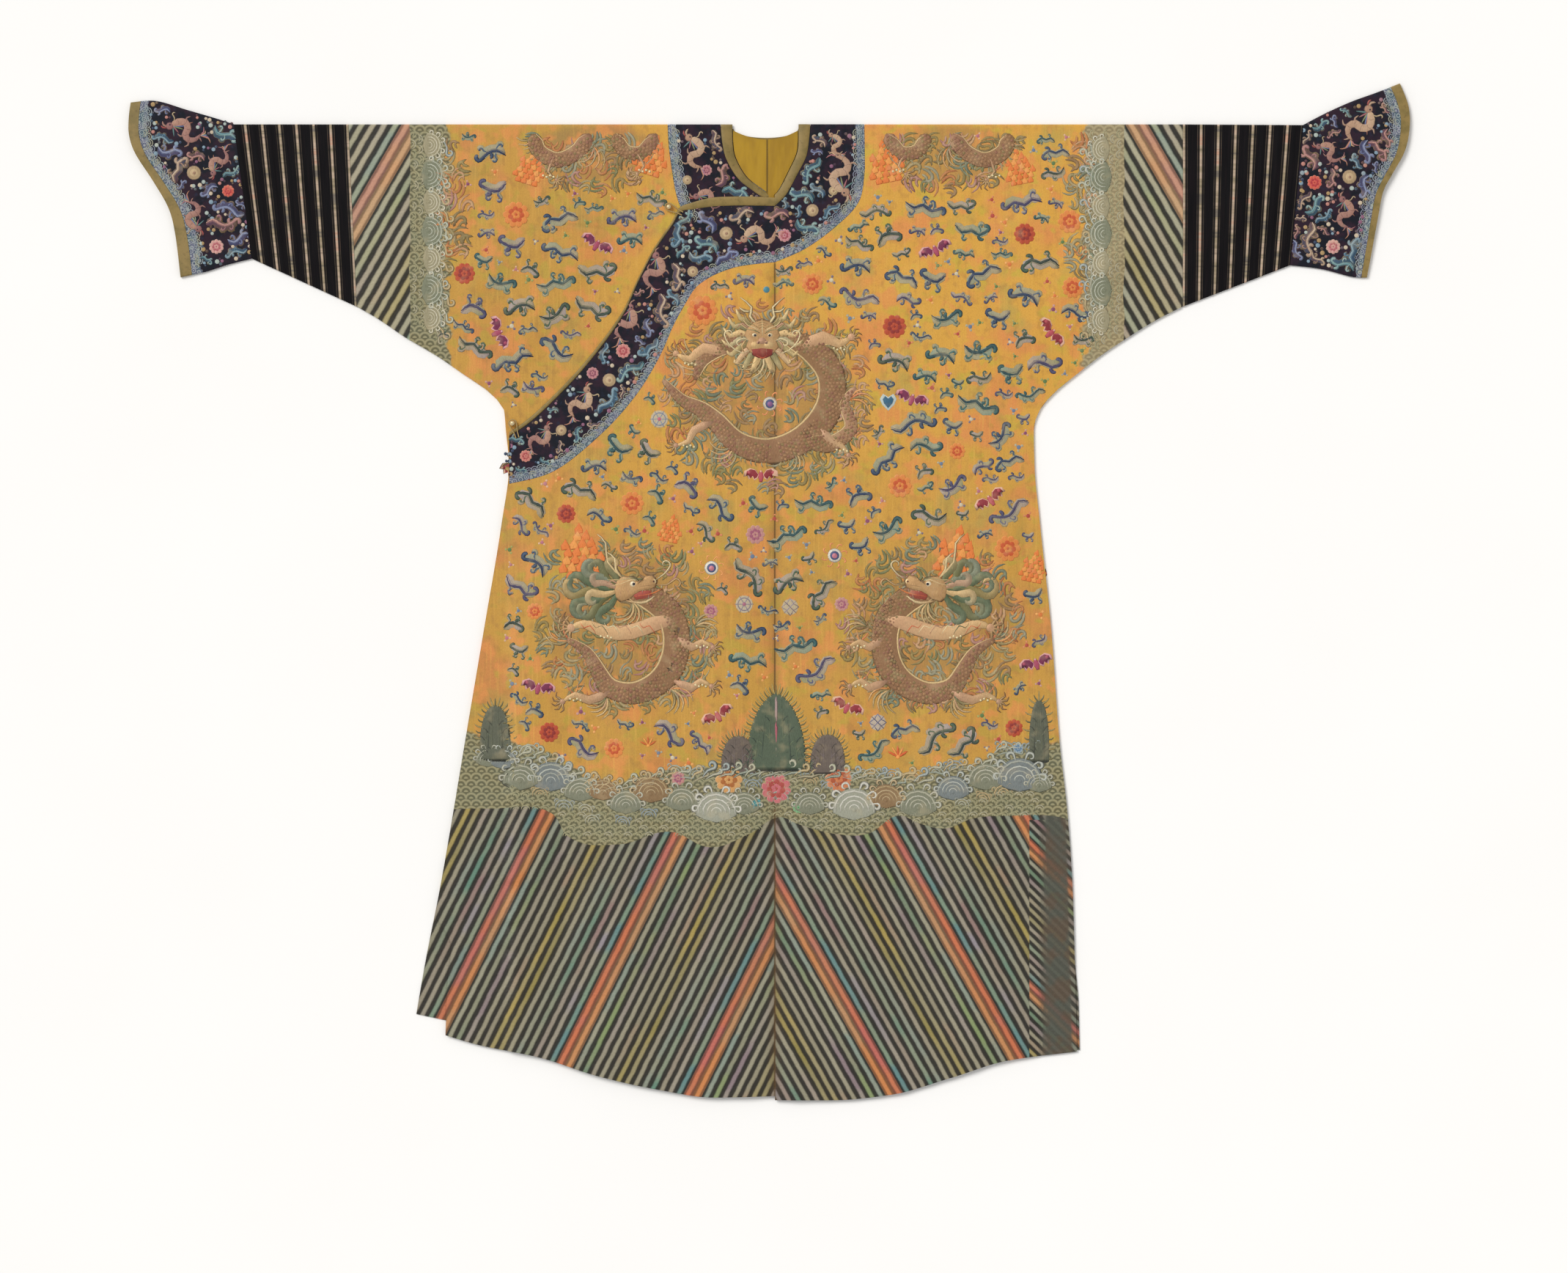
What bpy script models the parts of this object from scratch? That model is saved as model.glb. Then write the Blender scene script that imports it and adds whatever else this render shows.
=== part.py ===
# A formal silk robe laid out flat on a level surface, front up and sleeves spread.
#
# Plan sizes are millimetres. x runs across the robe from the centre-front seam, plus
# towards the wearer's left, and drop runs down the cloth from the shoulder fold to the
# hem. z is the height above the surface. Each panel is one wall of cloth, the layers
# lie on each other, and neighbours keep a small gap at every seam.

import math
from collections import namedtuple

import bmesh
import bpy

MM = 0.001

# Cloth
WALL = 1.6                      # silk with its lining
BAND_WALL = 2.0                 # stiffened collar bands on the top layer
BINDING_WALL = 2.2              # rolled edge bindings on the top layer
LINING_WALL = 1.2
SEAM_GAP = 0.3
HALF_GAP = SEAM_GAP / 2
LAYER = WALL + SEAM_GAP         # height of one layer of cloth

# Body
HEM_DROP = 1403                 # shoulder fold to the lowest point of the hem
SKIRT_START = 470               # below this the rows bend to meet the curved hem
ARMPIT_DROP = 425
ARMPIT_X = 381
SLEEVE_DROP = 262               # depth of the sleeve where the ribbed band is sewn on
SLEEVE_SEAM = {"left": (586.6, 586.6), "right": (613.0, 601.2)}     # at the top, at the underarm
BAND_END = {"left": ((759.6, 1.0), (741.0, 202.6)), "right": ((777.5, 0.0), (752.2, 193.0))}
BACK_SEAM_X = -12.9             # centre-back seam, in line with the middle of the neck
UNDERLAP_X = -20                # free edge of the inner right front
SLIT_START = 1139               # top of the side vent on the wearer's right

# Soft form of the front
SHOULDER_LOFT = 1.7             # room inside the shoulder fold
FOLD_DROP = (LAYER + SHOULDER_LOFT + WALL) / 2      # centre of the shoulder fold
BILLOW = 3.0                    # how far the front stands off the back in the middle
BILLOW_RUN = 110                # distance from an edge over which it rises
SHOULDER_RUN = 70
PRESS_RUN = 80                  # the cloth beside the flap's edge rises over this width
TOP_PRESS = 6                   # flat strip beside that edge, on the flap
UNDER_PRESS = 46                # and on the underlap beneath it
CENTRE_DIP = 0.6                # share of the loft lost at the centre-front seam
CENTRE_RUN = 22
LIFT_RUN = 90                   # the left front climbs on to the underlap over this width

COLUMNS = 14
OVERLAP_COLUMNS = 10
ARC_STEPS = 4

Side = namedtuple("Side", "drop left right")
SIDES = [
    Side(262, 586.6, 601.2),
    Side(280, 550.7, 570.0),
    Side(306, 508.5, 532.0),
    Side(332, 469.5, 487.4),
    Side(359, 434.7, 448.4),
    Side(385, 403.0, 411.0),
    Side(411, 380.9, 389.5),
    Side(438, 372.4, 387.0),
    Side(491, 373.5, 382.5),
    Side(570, 380.9, 392.5),
    Side(728, 397.7, 418.8),
    Side(886, 409.3, 445.5),
    Side(992, 421.0, 463.2),
    Side(1097, 428.3, 481.5),
    Side(1203, 431.5, 502.5),
    Side(1340, 434.7, 526.0),
]

# Free edge of the overlap: it leaves the side seam at the top of the vent.
Vent = namedtuple("Vent", "drop x")
VENT_EDGE = [
    Vent(SLIT_START, 487.0),
    Vent(1182, 465.0),
    Vent(1235, 470.5),
    Vent(1320, 474.0),
]

Hem = namedtuple("Hem", "x drop")
FRONT_HEM = {
    "left": [Hem(0, 1403), Hem(82, 1403), Hem(167, 1395), Hem(251, 1371.5), Hem(335, 1346), Hem(436, 1333)],
    "right": [Hem(0, 1397), Hem(87, 1399), Hem(171, 1387), Hem(255, 1368), Hem(340, 1341),
              Hem(424, 1324), Hem(476, 1309)],
}
BACK_HEM = {
    "left": [Hem(0, 1388), Hem(167, 1380), Hem(251, 1357), Hem(335, 1333), Hem(440, 1331)],
    "right": [Hem(0, 1377), Hem(171, 1364), Hem(255, 1345), Hem(340, 1318), Hem(424, 1299), Hem(517, 1279)],
}

# Collar bands: the line where the binding is sewn on, the outer edge, the binding's width.
Section = namedtuple("Section", "seam_x seam_drop outer_x outer_drop binding")
COLLAR_LEFT = [
    Section(51, FOLD_DROP, 128.7, FOLD_DROP, 17),
    Section(49, 25, 129.2, 38, 15),
    Section(45, 47, 128.5, 75, 14),
    Section(32, 73, 120, 113, 13),
    Section(17, 100, 88, 147, 12),
    Section(6, 112, 44, 179, 12),
    Section(0, 117.5, 0, 198.5, 12),
]
COLLAR_RIGHT = [
    Section(-78, FOLD_DROP, -154, FOLD_DROP, 17),
    Section(-76, 25, -152.5, 32, 15),
    Section(-70, 50, -148, 66, 13),
    Section(-53, 78, -142, 100, 12),
    Section(-30, 96.5, -133, 124, 12),
    Section(-16, 106, -118, 143, 11),
]
FLAP = [
    Section(0, 117.5, 0, 198.5, 12),
    Section(-30, 117, -26, 201, 13),
    Section(-60, 117, -57, 206, 13),
    Section(-90, 118.5, -86, 216.5, 13),
    Section(-118, 122.5, -106, 228.5, 10),
    Section(-136, 127, -116, 238, 7),
    Section(-148, 146, -125, 252, 4.5),
    Section(-174, 184, -145, 288, 4),
    Section(-196, 226, -166, 335, 4),
    Section(-222, 281, -199, 389, 5.5),
    Section(-277, 354, -248, 444, 6),
    Section(-343, 421, -316, 498, 6),
    Section(-382, 448.5, -382, 517, 6),
]
# Round the back of the neck the band is three half ellipses: half width and depth.
NECK_BACK = {"binding": (46.5, 13), "seam": (64.5, 28), "outer": (141.4, 91)}
NECK_BACK_DROP = FOLD_DROP + 3.7
NECK_BACK_STEPS = 12

LINING_SEAM_X = -11
LINING_TOP = (9, 21.8)          # drop at the neck binding and at the lining's own seam
LINING_END = 92
LINING_MARGIN = 1.2

# Horse-hoof cuffs: plan curves as (x, drop), x counted outwards from the centre.
CUFF = {
    "left": {
        "mouth": [(898.9, -59), (910.5, -28), (912.9, 2), (906, 38), (887, 73), (874.6, 97),
                  (867.2, 134), (859.8, 175), (851.4, 220.5)],
        "top": [(759.6, 1), (792, -16), (829.2, -32.7), (866, -46), (898.9, -59)],
        "bottom": [(741, 202.6), (786, 208), (829.2, 219), (851.4, 220.5)],
    },
    "right": {
        "mouth": [(926.3, -31.7), (929, -8), (928.4, 15.8), (919, 43), (893.6, 82.3), (871.4, 121.3),
                  (862, 159.3), (854.6, 220)],
        "top": [(777.5, 0), (802.9, -8.4), (846.1, -21.1), (890, -33.8), (926.3, -31.7)],
        "bottom": [(752.2, 193), (786, 201.5), (818.7, 212), (854.6, 220)],
    },
}
CUFF_BINDING = 14               # width of the tan edge at the cuff's mouth
CUFF_BINDING_EXTRA = 0.4
CUFF_ACROSS = 10
CUFF_ALONG = 4
CUFF_EDGE_LOFT = 0.6
CUFF_BILLOW = 2.6

# The largest folds: a soft ridge from (x0, drop0) to (x1, drop1).
Fold = namedtuple("Fold", "x0 drop0 x1 drop1 width height")
FOLDS = [
    Fold(352, 392, 175, 205, 34, 3.6),      # left armpit up to the chest
    Fold(420, 330, 330, 120, 30, 2.2),
    Fold(575, 150, 395, 245, 26, 2.6),      # along the left sleeve
    Fold(405, 850, 416, 1345, 17, 4.2),     # the left side's long vertical fold
    Fold(245, 640, 290, 1400, 40, 3.2),
    Fold(95, 560, 120, 1420, 42, 2.6),
    Fold(345, 470, 300, 760, 30, 2.4),
    Fold(-362, 398, -240, 215, 34, 3.6),    # right armpit up to the chest
    Fold(-600, 140, -410, 250, 26, 2.6),    # along the right sleeve
    Fold(-455, 340, -380, 130, 30, 2.0),
    Fold(-335, 600, -408, 1330, 38, 3.4),
    Fold(-190, 560, -232, 1400, 42, 2.8),
    Fold(-62, 420, -78, 1410, 34, 2.2),
    Fold(690, 30, 610, 235, 24, 1.6),
    Fold(-700, 30, -640, 225, 24, 1.6),
]

# Closures
BUTTON_RADIUS = 4.2
CORD_RADIUS = 0.8
CORD_POINTS = 11
CORD_RUN = 22                   # from the button's centre to the loop's sewn end
Closure = namedtuple("Closure", "name x drop towards_x towards_drop")
CLOSURES = [
    Closure("collar", -152.5, 119, -128, 131),
    Closure("side", -377, 430, -366, 462),
]

MATERIALS = {
    "ground_silk": ((0.68, 0.37, 0.07), 0.55, 0.0),
    "navy_silk": ((0.03, 0.035, 0.09), 0.5, 0.0),
    "black_silk": ((0.012, 0.01, 0.02), 0.5, 0.0),
    "tan_binding": ((0.35, 0.24, 0.1), 0.6, 0.0),
    "yellow_lining": ((0.62, 0.42, 0.02), 0.45, 0.0),
    "gilt": ((0.75, 0.6, 0.35), 0.35, 0.9),
}


# ---- small tools ----

def ease(t):
    t = min(max(t, 0.0), 1.0)
    return t * t * (3 - 2 * t)


def unit(ax, ay, bx, by):
    length = math.hypot(bx - ax, by - ay)
    return (bx - ax) / length, (by - ay) / length


def read(table, value, key, column):
    """A smooth curve through the table's rows, held to each gap's own range."""
    keys = [getattr(row, key) for row in table]
    data = [getattr(row, column) for row in table]
    if value <= keys[0]:
        return data[0]
    if value >= keys[-1]:
        return data[-1]
    last = len(keys) - 1
    i = max(k for k in range(last) if keys[k] <= value)
    slopes = [(data[k + 1] - data[k]) / (keys[k + 1] - keys[k]) for k in range(last)]

    def tangent(k):
        if k in (0, last):
            return slopes[min(k, last - 1)]
        before, after = slopes[k - 1], slopes[k]
        return 0.0 if before * after <= 0 else 2 * before * after / (before + after)

    step = keys[i + 1] - keys[i]
    t = (value - keys[i]) / step
    return ((1 + 2 * t) * (1 - t) ** 2 * data[i] + t * (1 - t) ** 2 * step * tangent(i)
            + t * t * (3 - 2 * t) * data[i + 1] + t * t * (t - 1) * step * tangent(i + 1))


def through(points, t):
    """A point on the smooth curve through the points, t from 0 to 1."""
    last = len(points) - 1
    place = min(max(t, 0.0), 1.0) * last
    i = min(int(place), last - 1)
    u = place - i
    a, b, c, d = (points[min(max(k, 0), last)] for k in (i - 1, i, i + 1, i + 2))
    return tuple(0.5 * (2 * q + (r - p) * u + (2 * p - 5 * q + 4 * r - s) * u * u
                        + (3 * q - p - 3 * r + s) * u ** 3) for p, q, r, s in zip(a, b, c, d))


def refined(sections, steps=2):
    count = (len(sections) - 1) * steps
    return [Section(*through(sections, k / count)) for k in range(count + 1)]


def lerp(a, b, t):
    return a + (b - a) * t


# ---- outline ----

def side_x(drop, side):
    """Half width of the robe, at the sleeve's end above the underarm."""
    if drop < SLEEVE_DROP:
        top, bottom = SLEEVE_SEAM[side]
        return lerp(top, bottom, drop / SLEEVE_DROP)
    return read(SIDES, drop, "drop", side)


def overlap_x(drop):
    return side_x(drop, "right") - 1 if drop < SLIT_START else read(VENT_EDGE, drop, "drop", "x")


def underlap_side_x(drop):
    return (side_x(drop, "right") if drop < SKIRT_START else overlap_x(drop) - 4)


def hang(x, drop, hem):
    """Bends a row of the skirt so that the last one lies on the hem."""
    if drop <= SKIRT_START:
        return drop
    share = (drop - SKIRT_START) / (HEM_DROP - SKIRT_START)
    return lerp(SKIRT_START, read(hem, abs(x), "x", "drop"), share)


def plan_row(start, end_x, drop, hem, columns, sign):
    """Points of one row of a panel, from its inner edge to its side edge."""
    reach = end_x(drop)
    for _ in range(6):
        reach = end_x(hang(reach, drop, hem))
    row = []
    for k in range(columns + 1):
        x = lerp(start[0], sign * reach, k / columns)
        flat_drop = lerp(start[1], drop, k / columns)
        row.append((x, hang(x, flat_drop, hem)))
    return row


# ---- soft form ----

def distance_to(rail, x, drop):
    nearest = 1e9
    for (ax, ay), (bx, by) in zip(rail, rail[1:]):
        length = (bx - ax) ** 2 + (by - ay) ** 2
        t = min(max(((x - ax) * (bx - ax) + (drop - ay) * (by - ay)) / length, 0), 1)
        nearest = min(nearest, math.hypot(x - ax - (bx - ax) * t, drop - ay - (by - ay) * t))
    return nearest


FLAP_EDGE = [(row.seam_x, row.seam_drop) for row in FLAP]
UNDERARM = [(ARMPIT_X, ARMPIT_DROP), (435, 359), (508, 306), (587, 262), (747, 198), (860, 221)]


def edge_distance(x, drop):
    """Rough distance to the side or underarm edge."""
    reach = abs(x)
    side = "left" if x > 0 else "right"
    if reach > ARMPIT_X:
        for (ax, ay), (bx, by) in zip(UNDERARM, UNDERARM[1:]):
            if reach <= bx:
                return max(lerp(ay, by, (reach - ax) / (bx - ax)) - drop, 0) * 0.85
        return 60
    if drop < ARMPIT_DROP:
        return math.hypot(ARMPIT_X - reach, ARMPIT_DROP - drop)
    return max(side_x(drop, side) - reach, 0)


def folds_at(x, drop):
    height = 0.0
    for fold in FOLDS:
        dx, dy = fold.x1 - fold.x0, fold.drop1 - fold.drop0
        length = math.hypot(dx, dy)
        along = ((x - fold.x0) * dx + (drop - fold.drop0) * dy) / length
        across = ((x - fold.x0) * dy - (drop - fold.drop0) * dx) / length
        ends = ease(along / (0.3 * length)) * ease((length - along) / (0.15 * length))
        height += fold.height * math.exp(-(across / fold.width) ** 2) * ends
    return height


def loft(x, drop, press=TOP_PRESS):
    """Height of the front above a layer that lies quite flat."""
    below = drop - FOLD_DROP
    edge = edge_distance(x, drop)
    shoulder = SHOULDER_LOFT * (1 - ease(below / SHOULDER_RUN))
    body = BILLOW * ease(edge / BILLOW_RUN) + folds_at(x, drop) * ease(edge / 45)
    centre = 1 - CENTRE_DIP * math.exp(-(x / CENTRE_RUN) ** 2)
    pressed = ease((distance_to(FLAP_EDGE, x, drop) - press) / PRESS_RUN)
    return shoulder + body * centre * pressed * ease(below / SHOULDER_RUN)


def top_layer(x, drop):
    """Lower face of the left front, the overlap and the flap."""
    lift = 1 - ease((x - 8) / LIFT_RUN)
    return LAYER * (1 + lift * ease((drop - 15) / 50)) + loft(x, drop)


def flap_covers(x, drop):
    """Whether the flap or the overlap lies on this place of the underlap."""
    if drop > FLAP_EDGE[-1][1]:
        return True
    return any(ay <= drop < by and x > lerp(ax, bx, (drop - ay) / (by - ay)) - TOP_PRESS
               for (ax, ay), (bx, by) in zip(FLAP_EDGE[1:], FLAP_EDGE[2:]))


def underlap_layer(x, drop):
    """Lower face of the inner right front."""
    return LAYER + (0.0 if flap_covers(x, drop) else loft(x, drop, UNDER_PRESS))


# ---- walls of cloth ----

def material(name):
    colour, roughness, metallic = MATERIALS[name]
    made = bpy.data.materials.new(name)
    made.use_nodes = True
    shader = made.node_tree.nodes["Principled BSDF"]
    shader.inputs["Base Color"].default_value = (*colour, 1)
    shader.inputs["Roughness"].default_value = roughness
    shader.inputs["Metallic"].default_value = metallic
    return made


def add_object(name, data, surface):
    data.materials.append(material(surface))
    made = bpy.data.objects.new(name, data)
    bpy.context.scene.collection.objects.link(made)
    return made


def add_mesh(name, points, faces, surface):
    mesh = bpy.data.meshes.new(name)
    mesh.from_pydata([(x * MM, -drop * MM, z * MM) for x, drop, z in points], [], faces)
    work = bmesh.new()
    work.from_mesh(mesh)
    bmesh.ops.recalc_face_normals(work, faces=work.faces)
    work.to_mesh(mesh)
    work.free()
    mesh.shade_smooth()
    mesh.set_sharp_from_angle(angle=math.radians(40))
    return add_object(name, mesh, surface)


def add_sheet(name, rows, surface):
    """A wall of cloth: each row is a list of (x, drop, inner z, outer z) or point pairs."""
    count = len(rows[0])
    points = [pair[side] for side in (0, 1) for row in rows for pair in row]
    layer = len(rows) * count

    def corner(side, i, j):
        return side * layer + i * count + j

    faces = []
    for i in range(len(rows) - 1):
        for j in range(count - 1):
            for side in (0, 1):
                faces.append([corner(side, i, j), corner(side, i + 1, j),
                              corner(side, i + 1, j + 1), corner(side, i, j + 1)])
        for j in (0, count - 1):
            faces.append([corner(0, i, j), corner(0, i + 1, j), corner(1, i + 1, j), corner(1, i, j)])
    for j in range(count - 1):
        for i in (0, len(rows) - 1):
            faces.append([corner(0, i, j), corner(0, i, j + 1), corner(1, i, j + 1), corner(1, i, j)])
    return add_mesh(name, points, faces, surface)


def add_tube(name, rings, surface):
    """A flattened tube of cloth: each ring is a closed list of (inner, outer) points."""
    count = len(rings[0])
    points = [pair[side] for side in (0, 1) for ring in rings for pair in ring]
    layer = len(rings) * count

    def corner(side, i, j):
        return side * layer + i * count + j % count

    faces = []
    for j in range(count):
        for i in range(len(rings) - 1):
            for side in (0, 1):
                faces.append([corner(side, i, j), corner(side, i + 1, j),
                              corner(side, i + 1, j + 1), corner(side, i, j + 1)])
        for i in (0, len(rings) - 1):
            faces.append([corner(0, i, j), corner(0, i, j + 1), corner(1, i, j + 1), corner(1, i, j)])
    return add_mesh(name, points, faces, surface)


def raised(row, lower, wall):
    """A row of the front: its plan points between the lower and the upper face."""
    return [((x, drop, lower(x, drop)), (x, drop, lower(x, drop) + wall)) for x, drop in row]


def resting(row, wall=WALL):
    """A row of the back, flat on the surface; its inner face is the upper one."""
    return [((x, drop, wall), (x, drop, 0.0)) for x, drop in row]


def shoulder_fold(row, lower, wall):
    """Rows that carry a front row over the shoulder on to the back."""
    rows = []
    for k in range(ARC_STEPS + 1):
        angle = math.pi * (0.5 - k / ARC_STEPS)
        turned = []
        for x, drop in row:
            inner_low = lower(x, drop)
            inner_radius = (inner_low - WALL) / 2
            outer_radius = (inner_low + wall) / 2
            turned.append(((x, drop - inner_radius * math.cos(angle),
                            WALL + inner_radius * (1 + math.sin(angle))),
                           (x, drop - outer_radius * math.cos(angle),
                            outer_radius * (1 + math.sin(angle)))))
        rows.append(turned)
    return rows


# ---- panels ----

def outer_points(sections):
    """Where a panel meets the outer edge of a collar band."""
    points = []
    for row in sections:
        ux, uy = unit(row.seam_x, row.seam_drop, row.outer_x, row.outer_drop)
        points.append((row.outer_x + ux * HALF_GAP, row.outer_drop + uy * HALF_GAP))
    return points


def back_neck_sections():
    """The back collar band, from the left shoulder round to the right one."""
    sections = []
    for k in range(NECK_BACK_STEPS + 1):
        angle = math.pi * k / NECK_BACK_STEPS
        seam = NECK_BACK["seam"]
        outer = NECK_BACK["outer"]
        sections.append(Section(BACK_SEAM_X + seam[0] * math.cos(angle),
                                NECK_BACK_DROP + seam[1] * math.sin(angle),
                                BACK_SEAM_X + outer[0] * math.cos(angle),
                                NECK_BACK_DROP + outer[1] * math.sin(angle), 0))
    return sections


SLEEVE_ROWS = [230, SLEEVE_DROP, 284, 306, 332, 359, 385, 411, 438, SKIRT_START]
SKIRT_ROWS = 15
BACK_SKIRT_ROWS = 7
BACK_SLEEVE_ROWS = [150, 205, SLEEVE_DROP, 284, 306, 332, 359, 385, 411, 438, SKIRT_START]
UNDERLAP_ROWS = [151, 175, 200] + SLEEVE_ROWS
UNDERLAP_SKIRT = [560, 720, 900, 1080, 1150, 1210, 1290, HEM_DROP]


def skirt_rows(count):
    return [lerp(SKIRT_START, HEM_DROP, (k + 1) / count) for k in range(count)]


def back_rows(side, sign, end_x):
    """Plan rows of half the back, from the shoulder down."""
    neck = outer_points(back_neck_sections())
    half = len(neck) // 2
    edge = neck[:half + 1] if side == "left" else neck[:half - 1:-1]
    seam_x = BACK_SEAM_X + sign * HALF_GAP
    hem = BACK_HEM[side]
    starts = [(seam_x if k == half else x, drop) for k, (x, drop) in enumerate(edge)]
    starts += [(seam_x, drop) for drop in BACK_SLEEVE_ROWS + skirt_rows(BACK_SKIRT_ROWS)]
    return [plan_row(start, end_x, start[1], hem, COLUMNS, sign) for start in starts]


def add_left_length():
    """Left front, left back and upper sleeve in one, folded over the shoulder."""
    def front_x(drop):
        return side_x(drop, "left")

    def back_x(drop):
        return side_x(drop, "left") + 4 * ease((drop - 1190) / 80)

    starts = outer_points(refined(COLLAR_LEFT))
    starts[-1] = (HALF_GAP, starts[-1][1])
    starts += [(HALF_GAP, drop) for drop in SLEEVE_ROWS + skirt_rows(SKIRT_ROWS)]
    front = [plan_row(start, front_x, start[1], FRONT_HEM["left"], COLUMNS, 1) for start in starts]
    rows = [raised(row, top_layer, WALL) for row in reversed(front[1:])]
    rows += shoulder_fold(front[0], top_layer, WALL)
    rows += [resting(row) for row in back_rows("left", 1, back_x)]
    add_sheet("left_length", rows, "ground_silk")


def add_right_length():
    """Inner right front, right back and upper sleeve in one, folded over the shoulder."""
    def back_x(drop):
        return side_x(drop, "right")

    starts = outer_points(refined(COLLAR_RIGHT))
    starts += [(UNDERLAP_X, drop) for drop in UNDERLAP_ROWS + UNDERLAP_SKIRT]
    hem = [Hem(row.x, row.drop - 24) for row in FRONT_HEM["right"]]
    front = [plan_row(start, underlap_side_x, start[1], hem, COLUMNS, -1) for start in starts]
    rows = [raised(row, underlap_layer, WALL) for row in reversed(front[1:])]
    rows += shoulder_fold(front[0], underlap_layer, WALL)
    rows += [resting(row) for row in back_rows("right", -1, back_x)]
    add_sheet("right_length", rows, "ground_silk")


def add_overlap():
    """Outer right front, from the centre-front seam to the right side."""
    edge = outer_points(refined(FLAP))
    edge[0] = (-HALF_GAP, edge[0][1])
    first = edge[:OVERLAP_COLUMNS + 1]
    corner_drop, end_drop = first[-1][1], edge[-1][1]
    rows = [first]
    for x, drop in edge[OVERLAP_COLUMNS + 1:]:
        share = (drop - corner_drop) / (end_drop - corner_drop)
        centre = lerp(first[0][1], end_drop, share)
        rows.append([(lerp(-HALF_GAP, x, k / OVERLAP_COLUMNS), lerp(centre, drop, k / OVERLAP_COLUMNS))
                     for k in range(OVERLAP_COLUMNS + 1)])
    hem = FRONT_HEM["right"]
    for drop in skirt_rows(SKIRT_ROWS):
        if drop > end_drop + 20:
            rows.append(plan_row((-HALF_GAP, drop), overlap_x, drop, hem, OVERLAP_COLUMNS, -1))
    add_sheet("overlap_front", [raised(row, top_layer, WALL) for row in rows], "ground_silk")


# ---- collar ----

def band_row(row, steps=3):
    """Across a collar band, from the binding's seam to the outer edge."""
    ux, uy = unit(row.seam_x, row.seam_drop, row.outer_x, row.outer_drop)
    x0, y0 = row.seam_x + ux * HALF_GAP, row.seam_drop + uy * HALF_GAP
    x1, y1 = row.outer_x - ux * HALF_GAP, row.outer_drop - uy * HALF_GAP
    return [(lerp(x0, x1, k / steps), lerp(y0, y1, k / steps)) for k in range(steps + 1)]


def binding_row(row, steps=2):
    """Across a binding, from its free edge to the band's seam."""
    ux, uy = unit(row.seam_x, row.seam_drop, row.outer_x, row.outer_drop)
    x0, y0 = row.seam_x - ux * row.binding, row.seam_drop - uy * row.binding
    x1, y1 = row.seam_x - ux * HALF_GAP, row.seam_drop - uy * HALF_GAP
    return [(lerp(x0, x1, k / steps), lerp(y0, y1, k / steps)) for k in range(steps + 1)]


def add_front_collar(name, sections, across, lower, wall, surface):
    """A band or binding from just behind the shoulder fold down the front."""
    plan = [across(row) for row in refined(sections)]
    behind = [(x, NECK_BACK_DROP - SEAM_GAP) for x, _ in plan[0]]
    rows = [resting(behind)]
    rows += reversed(shoulder_fold(plan[0], lower, wall))
    rows += [raised(row, lower, wall) for row in plan[1:]]
    add_sheet(name, rows, surface)


def add_collar():
    add_front_collar("collar_left", COLLAR_LEFT, band_row, top_layer, BAND_WALL, "navy_silk")
    add_front_collar("collar_right", COLLAR_RIGHT, band_row, underlap_layer, WALL, "navy_silk")
    add_front_collar("neck_binding_left", COLLAR_LEFT, binding_row, top_layer, BINDING_WALL, "tan_binding")
    add_front_collar("neck_binding_right", COLLAR_RIGHT, binding_row, underlap_layer, WALL, "tan_binding")

    flap = [raised(band_row(row), top_layer, BAND_WALL) for row in refined(FLAP)]
    add_sheet("flap_band", flap, "navy_silk")
    edge = [raised(binding_row(row), top_layer, BINDING_WALL) for row in refined(FLAP)]
    add_sheet("flap_binding", edge, "tan_binding")

    add_sheet("collar_back", [resting(band_row(row)) for row in back_neck_sections()], "navy_silk")
    free, seam = NECK_BACK["binding"], NECK_BACK["seam"]
    rows = []
    for k in range(NECK_BACK_STEPS + 1):
        angle = math.pi * k / NECK_BACK_STEPS
        ring = []
        for share in (0, 0.5, 1):
            half = lerp(free[0], seam[0] - SEAM_GAP, share)
            depth = lerp(free[1], seam[1] - SEAM_GAP, share)
            ring.append((BACK_SEAM_X + half * math.cos(angle), NECK_BACK_DROP + depth * math.sin(angle)))
        rows.append(resting(ring))
    add_sheet("neck_binding_back", rows, "tan_binding")


def add_lining():
    """Back lining inside the neck, two halves joined at their own centre seam."""
    for side, sections, sign in (("left", COLLAR_LEFT, 1), ("right", COLLAR_RIGHT, -1)):
        edge = [binding_row(row)[0] for row in refined(sections)]
        seam_x = LINING_SEAM_X + sign * HALF_GAP
        at_edge, at_seam = LINING_TOP
        kept = [(edge[0][0], at_edge)] + [(x, drop) for x, drop in edge if at_edge + 4 < drop < LINING_END]
        rows = []
        for x, drop in kept:
            seam_drop = lerp(at_seam, LINING_END, (drop - at_edge) / (LINING_END - at_edge))
            end = x - sign * LINING_MARGIN
            rows.append([(lerp(seam_x, end, k / 3), lerp(seam_drop, drop, k / 3)) for k in range(4)])
        wall = [raised(row, lambda x, drop: LAYER, LINING_WALL) for row in rows]
        add_sheet("lining_" + side, wall, "yellow_lining")


# ---- sleeves and cuffs ----

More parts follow.
